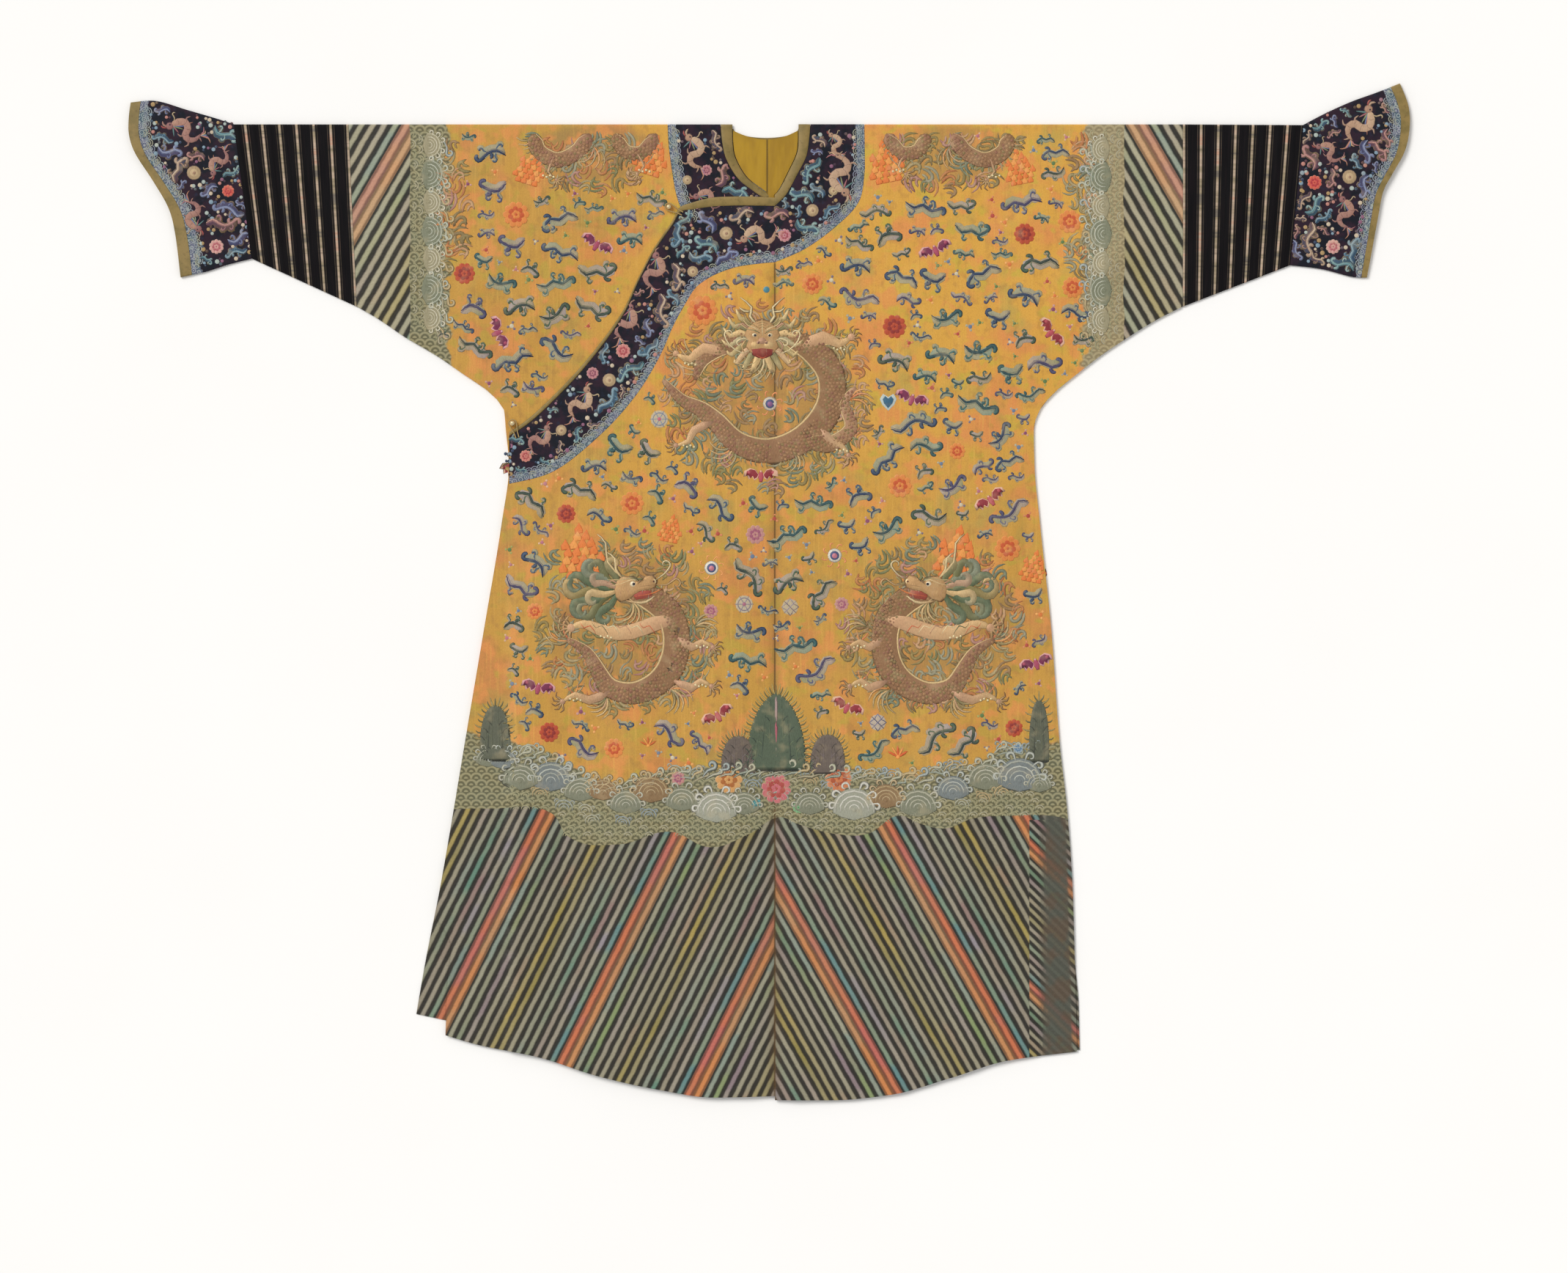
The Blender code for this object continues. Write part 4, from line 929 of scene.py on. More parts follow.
def addLining():                          # back lining inside the neck, two halves
    for name, sections, sign in (("liningLeft", collarLeft, 1), ("liningRight", collarRight, -1)):
        edge = bindingPlan(refined(sections, bands["steps"]), 1)[:, 0]
        atEdge, atSeam = lining["top"]
        end = lining["end"][sign]
        keep = (edge[:, 1] > atEdge + 2) & (edge[:, 1] < end)
        kept = np.concatenate([[[edge[0, 0], atEdge]], edge[keep]])
        seamDrop = lerp(atSeam, end, (kept[:, 1] - atEdge) / (end - atEdge))
        share = np.linspace(0, 1, lining["columns"] + 1)[None, :]
        x = lerp(lining["seamX"] + sign * halfGap, kept[:, :1] - sign * lining["margin"], share)
        bowed = share ** lerp(1.9, 1.0, ease((kept[:, 1:] - atEdge) / 40))      # the neck dips in a bow
        plan = np.stack([x, lerp(seamDrop[:, None], kept[:, 1:], bowed)], -1)
        sag = np.abs(ripples(plan[..., 0] * 1.6, plan[..., 1] * 0.8)) * 0.12 * np.sin(math.pi * share)
        inner = np.concatenate([plan, 0 * sag[..., None] + layer], -1)
        outer = np.concatenate([plan, (layer + cut["liningWall"] + sag)[..., None]], -1)
        piece = wallMesh(name, inner, outer, clothUv(outer), finishes["lining"])
        size = plan.reshape(-1, 2).max(0) - plan.reshape(-1, 2).min(0)
        dressed(piece, tuple(float(v) for v in size), planArea(plan), clothBelow(name))


def tubeRing(plan, lofts, extra=0.0, steps=8):      # a flat ring of cloth from its top edge to its bottom
    plan, lofts = np.array(plan, float), np.array(lofts, float)
    arcs = []
    for end, inward in ((0, 1), (-1, -2)):
        low = layer + lofts[end]
        radius, small = (low + cut["wall"] + extra) / 2, (low - cut["wall"]) / 2
        way = plan[inward] - plan[end]
        way = way / np.linalg.norm(way)
        plan[end] = plan[end] + way * radius
        angle = math.pi * (0.5 - np.arange(1, steps) / steps)
        out, up = np.cos(angle)[:, None], 1 + np.sin(angle)[:, None]
        arcs.append((np.concatenate([plan[end] - way * small * out, cut["wall"] + small * up], 1),
                     np.concatenate([plan[end] - way * radius * out, radius * up], 1)))
    low = (layer + lofts)[:, None]
    flat = 0 * low
    inner = [np.concatenate([plan, low], 1), arcs[1][0], np.concatenate([plan, flat + cut["wall"]], 1)[::-1],
             arcs[0][0][::-1]]
    outer = [np.concatenate([plan, low + cut["wall"] + extra], 1), arcs[1][1],
             np.concatenate([plan, flat], 1)[::-1], arcs[0][1][::-1]]
    return np.concatenate(inner), np.concatenate(outer)


def ringUv(rings, along):                 # distance along, and around each closed ring
    around = clothUv(np.concatenate([rings, rings[:, :1]], 1))[..., 1]
    return np.stack([np.broadcast_to(along, around.shape), around], -1)


def girthOf(ring):
    return float(np.linalg.norm(np.diff(ring, axis=0, append=ring[:1]), axis=1).sum())


sleeveBand = {"rings": 72, "across": 36, "pleat": 21.6, "pleatHeight": 0.55}


def addSleeveBand(side, sign):            # ribbed black tube between the upper sleeve and the cuff
    top0, bottom0 = cut["sleeveSeam"][side]
    topEnd, bottomEnd = cut["bandEnd"][side]
    rings, along = [], []
    width = (topEnd[0] - top0 + bottomEnd[0] - bottom0) / 2
    for i in range(sleeveBand["rings"] + 1):
        share = i / sleeveBand["rings"]
        shift = lerp(cut["seamGap"], 0, share)
        top = np.array([lerp(top0, topEnd[0], share) + shift, lerp(0, topEnd[1], share)])
        bottom = np.array([lerp(bottom0, bottomEnd[0], share) + shift,
                           lerp(cut["sleeveDrop"], bottomEnd[1], share)])
        plan = lerp(top, bottom, np.linspace(0, 1, sleeveBand["across"] + 1)[:, None])
        plan[:, 0] *= sign
        rise = loft(plan[:, 0], np.maximum(plan[:, 1], foldDrop), soft["topPress"])
        phase = (share * width / sleeveBand["pleat"] + 0.42) % 1
        pleat = sleeveBand["pleatHeight"] * math.exp(-((phase - 0.5) * sleeveBand["pleat"] / 1.7) ** 2)
        edge = ease(np.minimum(share, 1 - share) * width / 2)
        rings.append(tubeRing(plan, rise))
        ring = rings[-1][1]
        ring[:, 2] += np.where(ring[:, 2] > layer, pleat * edge, 0)
        along.append(share * width)
    inner, outer = (np.array([ring[k] for ring in rings]) for k in (0, 1))
    uv = ringUv(outer, np.array(along)[:, None])
    piece = wallMesh("sleeveBand" + side.title(), inner, outer, uv, finishes["black"], wrap=True)
    return dressed(piece, (girthOf(outer[0]), width), None, [])


cuff = {
    "left": {
        "mouth": [(898.9, -59), (910.5, -28), (912.9, 2), (906, 38), (887, 73), (874.6, 97), (867.2, 134),
                  (859.8, 175), (851.4, 220.5)],
        "top": [(759.6, 1), (792, -16), (829.2, -32.7), (866, -46), (898.9, -59)],
        "bottom": [(741, 202.6), (786, 208), (829.2, 219), (851.4, 220.5)],
    },
    "right": {
        "mouth": [(926.3, -31.7), (929, -8), (928.4, 15.8), (919, 43), (893.6, 82.3), (871.4, 121.3),
                  (862, 159.3), (854.6, 220)],
        "top": [(777.5, 0), (802.9, -8.4), (846.1, -21.1), (890, -33.8), (926.3, -31.7)],
        "bottom": [(752.2, 193), (786, 201.5), (818.7, 212), (854.6, 220)],
    },
    "binding": 18, "bindingExtra": 0.4, "edgeLoft": 0.6, "billow": 2.6, "across": 40, "along": 32, "edge": 10,
    "wrinkle": 0.35,
}


def cuffPlan(side, s, w):                 # s from the sleeve band to the mouth, w from the top to the bottom
    shape = cuff[side]
    top, bottom, mouth = (np.array(shape[key], float) for key in ("top", "bottom", "mouth"))
    s, w = np.broadcast_arrays(s, w)
    col = w[..., None]
    seam = lerp(top[0], bottom[0], col)
    corners = lerp(seam, lerp(mouth[0], mouth[-1], col), s[..., None])
    ruled = lerp(seam, through(mouth, w), s[..., None])
    return ruled + lerp(through(top, s), through(bottom, s), col) - corners


def addCuff(side, sign):                  # flared cuff and the binding round its mouth
    made = []
    w = np.linspace(0, 1, cuff["across"] + 1)
    seam, mouth = cuffPlan(side, 0 * w, w), cuffPlan(side, 0 * w + 1, w)
    length = np.linalg.norm(mouth - seam, axis=1)
    end, gap = 1 - cuff["binding"] / length, cut["seamGap"] / length
    atSeam = loft(sign * seam[:, 0], np.maximum(seam[:, 1], foldDrop), soft["topPress"])
    atMouth = cuff["edgeLoft"] + cuff["billow"] * 4 * w * (1 - w)

    def tube(shares, extra):
        inner, outer, along = [], [], []
        for s in shares:
            plan = cuffPlan(side, s, w) * [sign, 1]
            fine = cuff["wrinkle"] * ripples(plan[:, 0], plan[:, 1]) * np.sin(math.pi * w)
            ring = tubeRing(plan, np.maximum(lerp(atSeam, atMouth, s) + fine, 0.2), extra)
            inner.append(ring[0])
            outer.append(ring[1])
            fromEdge = (end - s) * length
            extras = len(ring[1]) + 1 - 2 * len(w)
            arc = extras // 2
            along.append(np.concatenate([fromEdge, np.full(arc, fromEdge[-1]), fromEdge[::-1],
                                         np.full(extras - arc, fromEdge[0])]))
        return np.array(inner), np.array(outer), np.array(along)

    for name, first, last, count, extra, finish, slotName in (
            ("cuff", gap, end - gap / 2, cuff["along"], 0.0, "navy", "navy_silk"),
            ("cuffBinding", end + gap / 2, 1, cuff["edge"], cuff["bindingExtra"], "binding", "tan_binding")):
        inner, outer, along = tube([lerp(first, last, i / count) for i in range(count + 1)], extra)
        uv = ringUv(outer, along)[..., ::-1]
        piece = wallMesh(name + side.title(), inner, outer, uv, finishes[finish], wrap=True)
        deep = float(np.linalg.norm(outer[-1, :len(w), :2] - outer[0, :len(w), :2], axis=1).max())
        area = 2 * planArea(outer[:, :len(w), :2])
        made.append(dressed(piece, (girthOf(outer[-1]), deep), area, []))
    return made


left, right = addLengths()
front = addOverlap()
collarPieces = addCollar()
addLining()
cuffPieces = []
for side, sign in (("left", 1), ("right", -1)):
    addSleeveBand(side, sign)
    cuffPieces += addCuff(side, sign)
print("cloth laid out")
class Motif:                              # woven shapes: strokes and patches with a colour at each point
    def __init__(self):
        self.points, self.faces, self.colours = [], [], []
        self.scales = []                  # x, y, turn, size of the small scales that go on it

    def tube(self, rings, colours):       # closed ridge through rings of points
        start, count = len(self.points), len(rings[0])
        for ring, colour in zip(rings, colours):
            self.points += ring
            self.colours += colour
        for i in range(len(rings) - 1):
            for j in range(count):
                a, b = start + i * count + j, start + i * count + (j + 1) % count
                self.faces.append((a, b, b + count, a + count))
        self.faces.append(tuple(range(start + count - 1, start - 1, -1)))
        last = start + (len(rings) - 1) * count
        self.faces.append(tuple(range(last, last + count)))

    def stroke(self, path, width, core, edge=None, end=None, high=0.3, level=0.0, taper=(0.25, 0.45),
               steps=2):
        path = np.array(path, float)
        share = np.linspace(0, 1, (len(path) - 1) * steps + 1)
        line = through(path, share)
        way = np.gradient(line, axis=0)
        way /= np.maximum(np.linalg.norm(way, axis=1, keepdims=True), 1e-9)
        side = np.stack([-way[:, 1], way[:, 0]], -1)
        start, stop = (np.clip(part / run, low, 1) for part, run, low in
                       ((share, taper[0], 0.05), (1 - share, taper[1], 0.03)))
        half = width / 2 * np.minimum(np.sqrt(start), np.sqrt(stop))
        first, last, rim = (np.array(dye(code)) for code in (core, end or core, edge or core))
        profile = wideProfile if width > 9 else narrowProfile
        rings, colours = [], []
        for point, out, w, t in zip(line, side, half, share):
            rings.append([(*(point + out * w * k), level + high * h if h else under) for k, h in profile])
            middle = tuple(lerp(first, last, t))
            colours.append([middle if h else tuple(rim) for _, h in profile])
        self.tube(rings, colours)
        return line, way, half

    def hair(self, path, width, core, end=None, high=0.5, **more):      # a stroke with a dark edge
        return self.stroke(path, width, core, "dark", end, high, **more)

    def patch(self, outline, core, edge=None, high=0.3, level=0.0, insets=(0.72,)):
        outline = np.array(outline, float)
        middle = outline.mean(0)
        start, n = len(self.points), len(outline)
        rim, heart = dye(edge or core), dye(core)
        above = [(1, under, rim)] + [(grow, level + high, heart) for grow in insets]
        below = [(grow, under, heart) for grow in insets[1::2]]      # lets a large patch bend with the cloth
        for grow, z, colour in above + below:
            self.points += [(*(middle + (p - middle) * grow), z) for p in outline]
            self.colours += [colour] * n
        self.points.append((*middle, level + high * 1.1))
        self.colours.append(heart)
        starts = [start + k * n for k in range(len(above) + len(below))]
        top, tip = starts[len(above) - 1], starts[-1] + n
        sides = [(j, (j + 1) % n) for j in range(n)]
        for low, up in zip(starts, starts[1:len(above)]):
            self.faces += [(low + j, low + k, up + k, up + j) for j, k in sides]
        self.faces += [(top + j, top + k, tip) for j, k in sides]
        starts = [start] + starts[len(above):]
        for low, up in zip(starts, starts[1:]):
            self.faces += [(low + k, low + j, up + j, up + k) for j, k in sides]
        self.faces.append(tuple(range(starts[-1] + n - 1, starts[-1] - 1, -1)))

    def disc(self, x, y, radius, core, edge=None, sides=9, squash=1.0, **more):
        angle = np.arange(sides) * 2 * math.pi / sides
        outline = np.stack([x + radius * np.cos(angle), y + radius * squash * np.sin(angle)], -1)
        self.patch(outline, core, edge, **more)

    def join(self, other, x, y, size, level):
        start = len(self.points)
        self.points += [(x + px * size, y + py * size, pz + level * (pz > 0)) for px, py, pz in other.points]
        self.faces += [tuple(start + k for k in face) for face in other.faces]
        self.colours += other.colours

    def flipped(self):                    # the same motif the other way round
        made = Motif()
        made.points = [(-x, y, z) for x, y, z in self.points]
        made.faces, made.colours = self.faces, self.colours
        made.scales = [(-x, y, math.pi - turn, size) for x, y, turn, size in self.scales]
        return made

    def mesh(self, name):                 # y runs up in a mesh and down the cloth in a motif
        mesh = bpy.data.meshes.new(name)
        mesh.from_pydata([(x * mm, -y * mm, z * mm) for x, y, z in self.points], [], self.faces)
        faceOut(mesh)
        thread = mesh.color_attributes.new("thread", "FLOAT_COLOR", "POINT")
        thread.data.foreach_set("color", np.array(self.colours, np.float32).reshape(-1))
        return mesh


under = -0.2                              # a motif's foot, sunk a little into the cloth
wideProfile = ((-1, 0), (-0.78, 0.8), (0, 1), (0.78, 0.8), (1, 0))      # across a stroke, and height
narrowProfile = ((-1, 0), (0, 1), (1, 0))


def hook(path, radius, turn, steps=5):    # the path with a curl at its end
    made = list(path)
    (ax, ay), (x, y) = path[-2:]
    heading = math.atan2(y - ay, x - ax)
    for k in range(steps):
        reach = radius * (1 - 0.62 * k / steps) * 0.8
        heading += turn * 0.9
        x, y = x + math.cos(heading) * reach, y + math.sin(heading) * reach
        made.append((x, y))
    return made


def arc(radius, start, end, count, y=0.0, squash=1.0):      # points on a bow, its angles in half turns
    return [(radius * math.cos(a * math.pi), y + radius * squash * math.sin(a * math.pi))
            for a in np.linspace(start, end, count)]


def ray(x, y, heading, steps, reach=1.0):  # points out from x, y: how far, and how much turned
    return [(x + reach * r * math.cos(heading + b), y + reach * r * math.sin(heading + b)) for r, b in steps]


# the line of a cloud, then its side curls: from where on the line, and to where
cloudShapes = [
    ([(-22, 5), (-12, -3), (0, 1), (11, -3), (21, 4)], [(1, (-10, -11)), (3, (9, 8))]),
    ([(-23, -4), (-12, 2), (-1, -2), (10, 4), (22, 0)], [(1, (-13, 11)), (3, (12, -7)), (2, (-1, -10))]),
    ([(-19, -2), (-9, 5), (2, 1), (10, -5), (20, -4)], [(2, (5, 10)), (1, (-7, -6))]),
    ([(-15, 8), (-6, 0), (4, 1), (14, 6)], [(1, (-9, -10)), (2, (8, -9))]),
    ([(-24, 2), (-14, -4), (-4, 1), (6, 4), (16, 0), (24, -6)], [(3, (4, 12)), (2, (-2, -10)), (4, (18, 9))]),
    ([(-17, -4), (-7, 3), (4, 2), (15, -5)], [(1, (-11, 11)), (2, (10, 9)), (1, (-5, -8))]),
]
# core at its start and end, light beside it, other light
cloudDyes = [
    ("232e4c", "4a6078", "ab9a78", "93967a"), ("1f3a44", "48706c", "a5936c", "8a9a86"),
    ("3c3356", "5f627c", "ae9a8c", "979468"), ("2c3436", "526a50", "a3926e", "a89a96"),
]


def cloud(shape, dyes):                   # a dark band with curls, and a light band below it
    start, end, light, other = dyes
    line = [(x * 1.08, y * 1.15) for x, y in shape[0]]
    ends = [(line[at], (x * 1.1, y * 1.05)) for at, (x, y) in shape[1]]
    low = [(x, y + 2.8) for x, y in line]
    made = Motif()
    made.stroke([(x + 0.8, y) for x, y in low], 14, light, "outline", other, 0.24, taper=(0.1, 0.1))
    for shift, radius, width, dyed, high, level, rise in (
            (2, 3.4, 9, (other, "outline", light), 0.24, 0, 0.02), (0, 3.0, 4.8, (end, start), 0.38, 0.1, 0)):
        for k, ((ax, ay), (x, y)) in enumerate(ends):
            path = [(ax, ay + shift), ((ax + x) / 2 + 2, (ay + y) / 2 + shift), (x, y + shift)]
            curl = hook(path, radius, (1, -1)[k % 2], 4)
            made.stroke(curl, width, *dyed, high=high, level=level + rise * k, steps=1, taper=(0.1, 0.2))
    made.stroke(hook(line, 4.6, 1, 4), 8.2, start, start, end, 0.42, 0.12, (0.15, 0.15))
    made.stroke(hook(line[::-1][:2], 4.6, 1, 4), 7.2, start, start, end, 0.4, 0.1, (0.1, 0.15))
    made.stroke(low, 2.4, end, start, light, 0.34, 0.22, (0.2, 0.3))
    return made


def bat(wing, tip, light):
    made = Motif()
    shape = [(1, -1), (6, -8), (13, -10), (20, -6), (21, 1), (17, -1), (14, 5), (10, 1), (7, 6), (3, 3)]
    for s in (-1, 1):
        made.patch([(s * x * 1.08, y * 1.08 + 0.6) for x, y in shape], light, "a58a52", 0.22, insets=(0.85,))
        made.patch([(s * x, y) for x, y in shape], wing, tip, 0.36, 0.08, (0.66,))
        made.disc(s * 15, -4, 2.6, tip, wing, sides=7, level=0.25)
    made.patch([(-4, 1), (-2, -6), (2, -6), (4, 1), (2, 9), (-2, 9)], tip, wing, 0.5, 0.14)
    made.disc(0, -5, 1.8, light, wing, sides=6, level=0.4)
    return made


def flower(core, petal, tip):
    made = Motif()
    for level, (count, radius, out) in enumerate(((10, 6.192, 12.5), (7, 5.472, 7.5), (5, 3.888, 3.4))):
        for k in range(count):
            angle = k * 2 * math.pi / count + level
            x, y = out * math.cos(angle), out * math.sin(angle)
            made.disc(x, y, radius, (petal, core)[level % 2], tip, sides=7, level=0.07 * level, high=0.26,
                      insets=(0.6,))
    made.disc(0, 0, 2.4, core, tip, sides=7, level=0.25)
    return made


def blaze(core, edge, tip):               # a bank of flame: rows of tongues, red between them
    made = Motif()
    for row, (count, y) in enumerate(((1, -28), (2, -20), (4, -12), (4, -4), (5, 4), (5, 12), (4, 20))):
        for k in range(count):
            x = (k - (count - 1) / 2) * 9.2 + 2.6 * math.sin(row * 2.1)
            tongue = [(-5, 4), (-5.5, -2), (-1.5, -6), (1 + (k % 2), -10), (3.4, -5), (5.4, 0), (4.6, 4)]
            colour = (core, tip, core)[(row + 2 * k) % 3]
            made.patch([(x + px, y + py) for px, py in tongue], colour, edge, 0.22,
                       0.02 * row + 0.01 * (k % 2), (0.66,))
    return made


def pearl(ring, heart, glow):
    made = Motif()
    for k in range(8):
        angle = k * math.pi / 4 + 0.3
        x, y = math.cos(angle), math.sin(angle)
        path = [(x * 8, y * 8), (x * 12, y * 12), (x * 15 - y * 2, y * 15 + x * 2)]
        made.stroke(hook(path, 2.2, 1, 3), 3.2, glow, "eab06a", high=0.24)
    made.disc(0, 0, 10, ring, "a9a39a", sides=16, high=0.34)
    made.disc(0, 0, 7, "4f567a", "8b8fa6", sides=14, level=0.1, high=0.34, insets=(0.8,))
    made.disc(0, 0.4, 4.4, heart, "6d5f86", sides=10, level=0.22, high=0.34)
    return made


def knot(cord, other, light):             # endless knot
    made = Motif()
    made.disc(0, 0, 13, light, "goldRim", sides=12, high=0.14, insets=(0.85,))
    for s, colour in ((1, cord), (-1, other)):
        made.stroke([(k, k * s) for k in (-9, -3, 3, 9)], 3.4, colour, light, taper=(0.1, 0.1), level=0.1)
        for x, y in ((s, 0), (0, s)):
            path = [(x * 4 - y * 5, y * 4 - x * 5), (x * 12, y * 12), (x * 4 + y * 5, y * 4 + x * 5)]
            made.stroke(path, 3.2, colour, light, level=0.14, taper=(0.1, 0.1))
    return made


def wheel(rim, spoke, hub):
    made = Motif()
    made.disc(0, 0, 14, "bdae92", "goldRim", sides=14, high=0.12, insets=(0.85,))
    made.stroke(arc(9, 0, 2, 13), 3.6, rim, "d0c2a8", taper=(0.01, 0.01), level=0.1)
    for k in range(6):
        spokes = ray(0, 0, k * math.pi / 3, ((0, 0), (6, 0), (14, 0)))
        made.stroke(spokes, 3.0, spoke, "d0c2a8", rim, level=0.16, taper=(0.1, 0.2))
    made.disc(0, 0, 3.4, hub, spoke, sides=8, level=0.2)
    return made


def heart(core, light):                   # ruyi head, one on the other
    made = Motif()
    for half, low, notch, colour, edge, high, level, inset in (
            ([(9, 6), (13, -3), (8, -11)], 15, -6, light, "goldRim", 0.2, 0.0, 0.9),
            ([(7, 4), (9, -3), (5, -8)], 12, -4, core, light, 0.42, 0.1, 0.8)):
        outline = [(0, low)] + [(-x, y) for x, y in half] + [(0, notch)] + half[::-1]
        made.patch(outline, colour, edge, high, level, (inset,))
    return made


def fan(core, tip):
    made = Motif()
    for k in range(5):
        rib = ray(0, 6, math.radians(-150 + 30 * k), ((0, 0), (6, 0), (15, 0)))
        made.stroke(rib, 5.4, (core, tip)[k % 2], "b0603a", level=0.03 * k, taper=(0.5, 0.15))
    made.disc(0, 6, 3, tip, core, sides=7, level=0.15)
    return made


def dome(pale, shade, deep, lip):         # one head of foam: arcs over each other and curls on top
    made = Motif()
    made.patch(arc(27, 0.93, 2.07, 12, 3, 25 / 27) + [(16, 14), (0, 18), (-16, 14)], shade, deep, 0.2,
               insets=(0.92, 0.7, 0.45, 0.2))
    for k, (radius, width) in enumerate(((23.5, 5.4), (17, 4.4), (11.4, 4.2), (6, 3.6))):
        made.stroke(arc(radius, 0.94, 2.06, 9, 4, 0.94), width, (pale, lip)[k % 2], deep, high=0.34,
                    level=0.05 * (4 - k), taper=(0.08, 0.08), steps=1)
    made.disc(0, 5, 3.2, shade, deep, sides=7, level=0.1)
    for x, y, turn, size in ((-27, -4, -1, 4.2), (-20, -18, -1, 4.8), (-7, -26, -1, 5), (9, -26, 1, 5),
                             (21, -17, 1, 4.8), (28, -3, 1, 4.2)):
        made.stroke(hook([(x * 0.66, y * 0.66), (x, y)], size, turn), 5.6, lip, deep, high=0.42, level=0.2)
    return made


def shell(pale, deep):                    # a small head of foam between the large ones
    made = Motif()
    for radius, width in ((13, 4.6), (7.6, 4.0), (3, 3.4)):
        made.stroke(arc(radius, 0.9, 2.1, 7, 0, 0.9), width, pale, deep, taper=(0.1, 0.1), steps=1)
    for s in (-1, 1):
        curl = hook([(s * 6, -8), (s * 11, -12)], 3.6, s, 4)
        made.stroke(curl, 4.2, pale, deep, high=0.34, level=0.06, steps=1)
    return made


def ripple(pale, deep):                   # a scale of flat water
    made = Motif()
    for radius, width in ((6.3, 2.6), (2.9, 2.3)):
        made.stroke(arc(radius, 1, 2, 7), width, pale, deep, high=0.24, taper=(0.1, 0.1), steps=1)
    return made


def swirl(pale, deep, other):
    made = Motif()
    made.stroke(hook([(-13, 6), (-6, 0), (2, -1)], 4.6, -1, 6), 5.2, pale, deep, high=0.36)
    made.stroke(hook([(-10, 9), (-1, 6), (8, 6)], 3.0, -1, 4), 4.0, other, deep)
    return made


def bud(core, edge, radius, small, spots):      # one round stitch, with smaller ones beside it
    made = Motif()
    made.disc(0, 0, radius, core, edge, sides=7, high=0.26)
    for x, y in spots:
        made.disc(x, y, small, edge, core, sides=6, high=0.24)
    return made


def scale(pale, deep):                    # one scale of a dragon's body, its tip along +x
    made = Motif()
    outline = [(-2.6, -3.0), (1.2, -2.7), (3.4, 0), (1.2, 2.7), (-2.6, 3.0)]
    made.patch(outline, pale, deep, 0.2, insets=(0.62,))
    return made


def bodyOf(made, path, girth, belly=1, level=0.0, taper=(0.12, 0.6), end="warm"):      # belly and crest
    line, way, half = made.hair(path, girth, "skin", end, 0.55, level=level, taper=taper, steps=4)
    side = np.stack([-way[:, 1], way[:, 0]], -1)
    inner = line + side * (belly * half * 0.86)[:, None]
    made.hair(inner[::2], girth * 0.12 + 1, "crest", high=0.6, level=level + 0.1, taper=(0.06, 0.3))
    long = np.concatenate([[0], np.cumsum(np.linalg.norm(np.diff(line, axis=0), axis=1))])

    def along(first, last, gap):          # points on the line, with the row of the line they are at
        for k, at in enumerate(np.arange(first, long[-1] - last, gap)):
            point = np.array([np.interp(at, long, line[:, n]) for n in (0, 1)])
            yield k, point, int(np.searchsorted(long, at))

    for k, at, i in along(6, 6, 6.6):
        out, on, w = -side[i] * belly, way[i], half[i]
        if w > 3:
            root = at + out * w * 0.9
            tip = root + out * 6.5 - on * 3
            made.stroke([root - out * 2, (root + tip) / 2 + on, tip], 4.6, ("mane", "grey")[k % 2], "crest",
                        high=0.4, level=level, steps=1, taper=(0.2, 0.8))
    for k, at, i in along(4, 3, 4.7):
        turn = math.atan2(way[i][1], way[i][0])
        for off in np.arange(-30 + 2.75 * (k % 2), 31, 5.5):
            if abs(off) < half[i] * 0.8 and off * belly < half[i] * 0.5:
                made.scales.append((*(at + side[i] * off), turn, 0.9))


def legOf(made, path, width=12, skin="rose", taper=(0.2, 0.8), claws=1.0):
    made.hair(path, width, skin, "belly", 0.55, level=0.2, taper=taper)
    (ax, ay), (x, y) = path[-2:]
    heading = math.atan2(y - ay, x - ax)
    made.disc(x, y, width * 0.3, skin, "dark", high=0.5, level=0.25)
    for k in range(5):
        claw = ray(x, y, heading + (k - 2) * 0.6, ((1, 0), (7, 0.1), (12, 0), (16, 0.35)), claws)
        made.hair(claw, 5 * claws, "belly", "claw", level=0.3, taper=(0.2, 0.8))
    mx, my = path[len(path) // 2]
    for k, name in enumerate(("red", "mane", "orange", "grey")):      # hair at the elbow
        lock = [(mx, my), (mx + 6 * (k - 1.5), my - 8), (mx + 9 * (k - 1.5), my - 17)]
        made.stroke(lock, 4.4, name, "crest", level=0.05 * k, taper=(0.3, 0.9))
    for k in range(4):                    # beads on the thigh
        made.disc(mx - 7 + 5 * k, my + 6 + 2 * (k % 2), 2.2, "cream", "green", sides=6, level=0.7)


def tuft(made, x, y, heading, names, reach=24, spread=0.4, width=6.2):
    for k, name in enumerate(names.split()):
        turned = heading + (k - (len(names.split()) - 1) / 2) * spread
        lock = ray(x, y, turned, ((0, 0), (0.4, -0.15), (0.75, 0.15), (1, 0.45)), reach)
        made.hair(lock, width, name, "crest", 0.4, level=0.05 + 0.02 * k, taper=(0.3, 0.9))


def mane(made, x, y, locks, width=11):    # curling locks: heading, reach and dye of each
    for k, (heading, reach, name) in enumerate(locks):
        bend = 1 if k % 2 else -1
        line = ray(x, y, heading, ((0, 0), (0.45, 0.12 * bend), (0.8, -0.1 * bend)), reach)
        made.hair(hook(line, reach * 0.2, bend, 5), width, name, ("grey", "belly")[k % 4 == 3], 0.42,
                  level=0.03 + 0.02 * k, taper=(0.2, 0.75))


# a head's half outline, from the brow down to the chin, and the profile's whole outline
frontalFace = [(11, -22), (20, -14), (24, -4), (19, 3), (22, 11), (16, 19), (7, 23)]
profileFace = [(-20, -2), (-17, -13), (-9, -19), (1, -18), (8, -13), (16, -14), (21, -20), (29, -20),
               (34, -13), (32, -5), (23, -2), (13, 0), (6, 4), (-1, 10), (-11, 13), (-18, 8)]


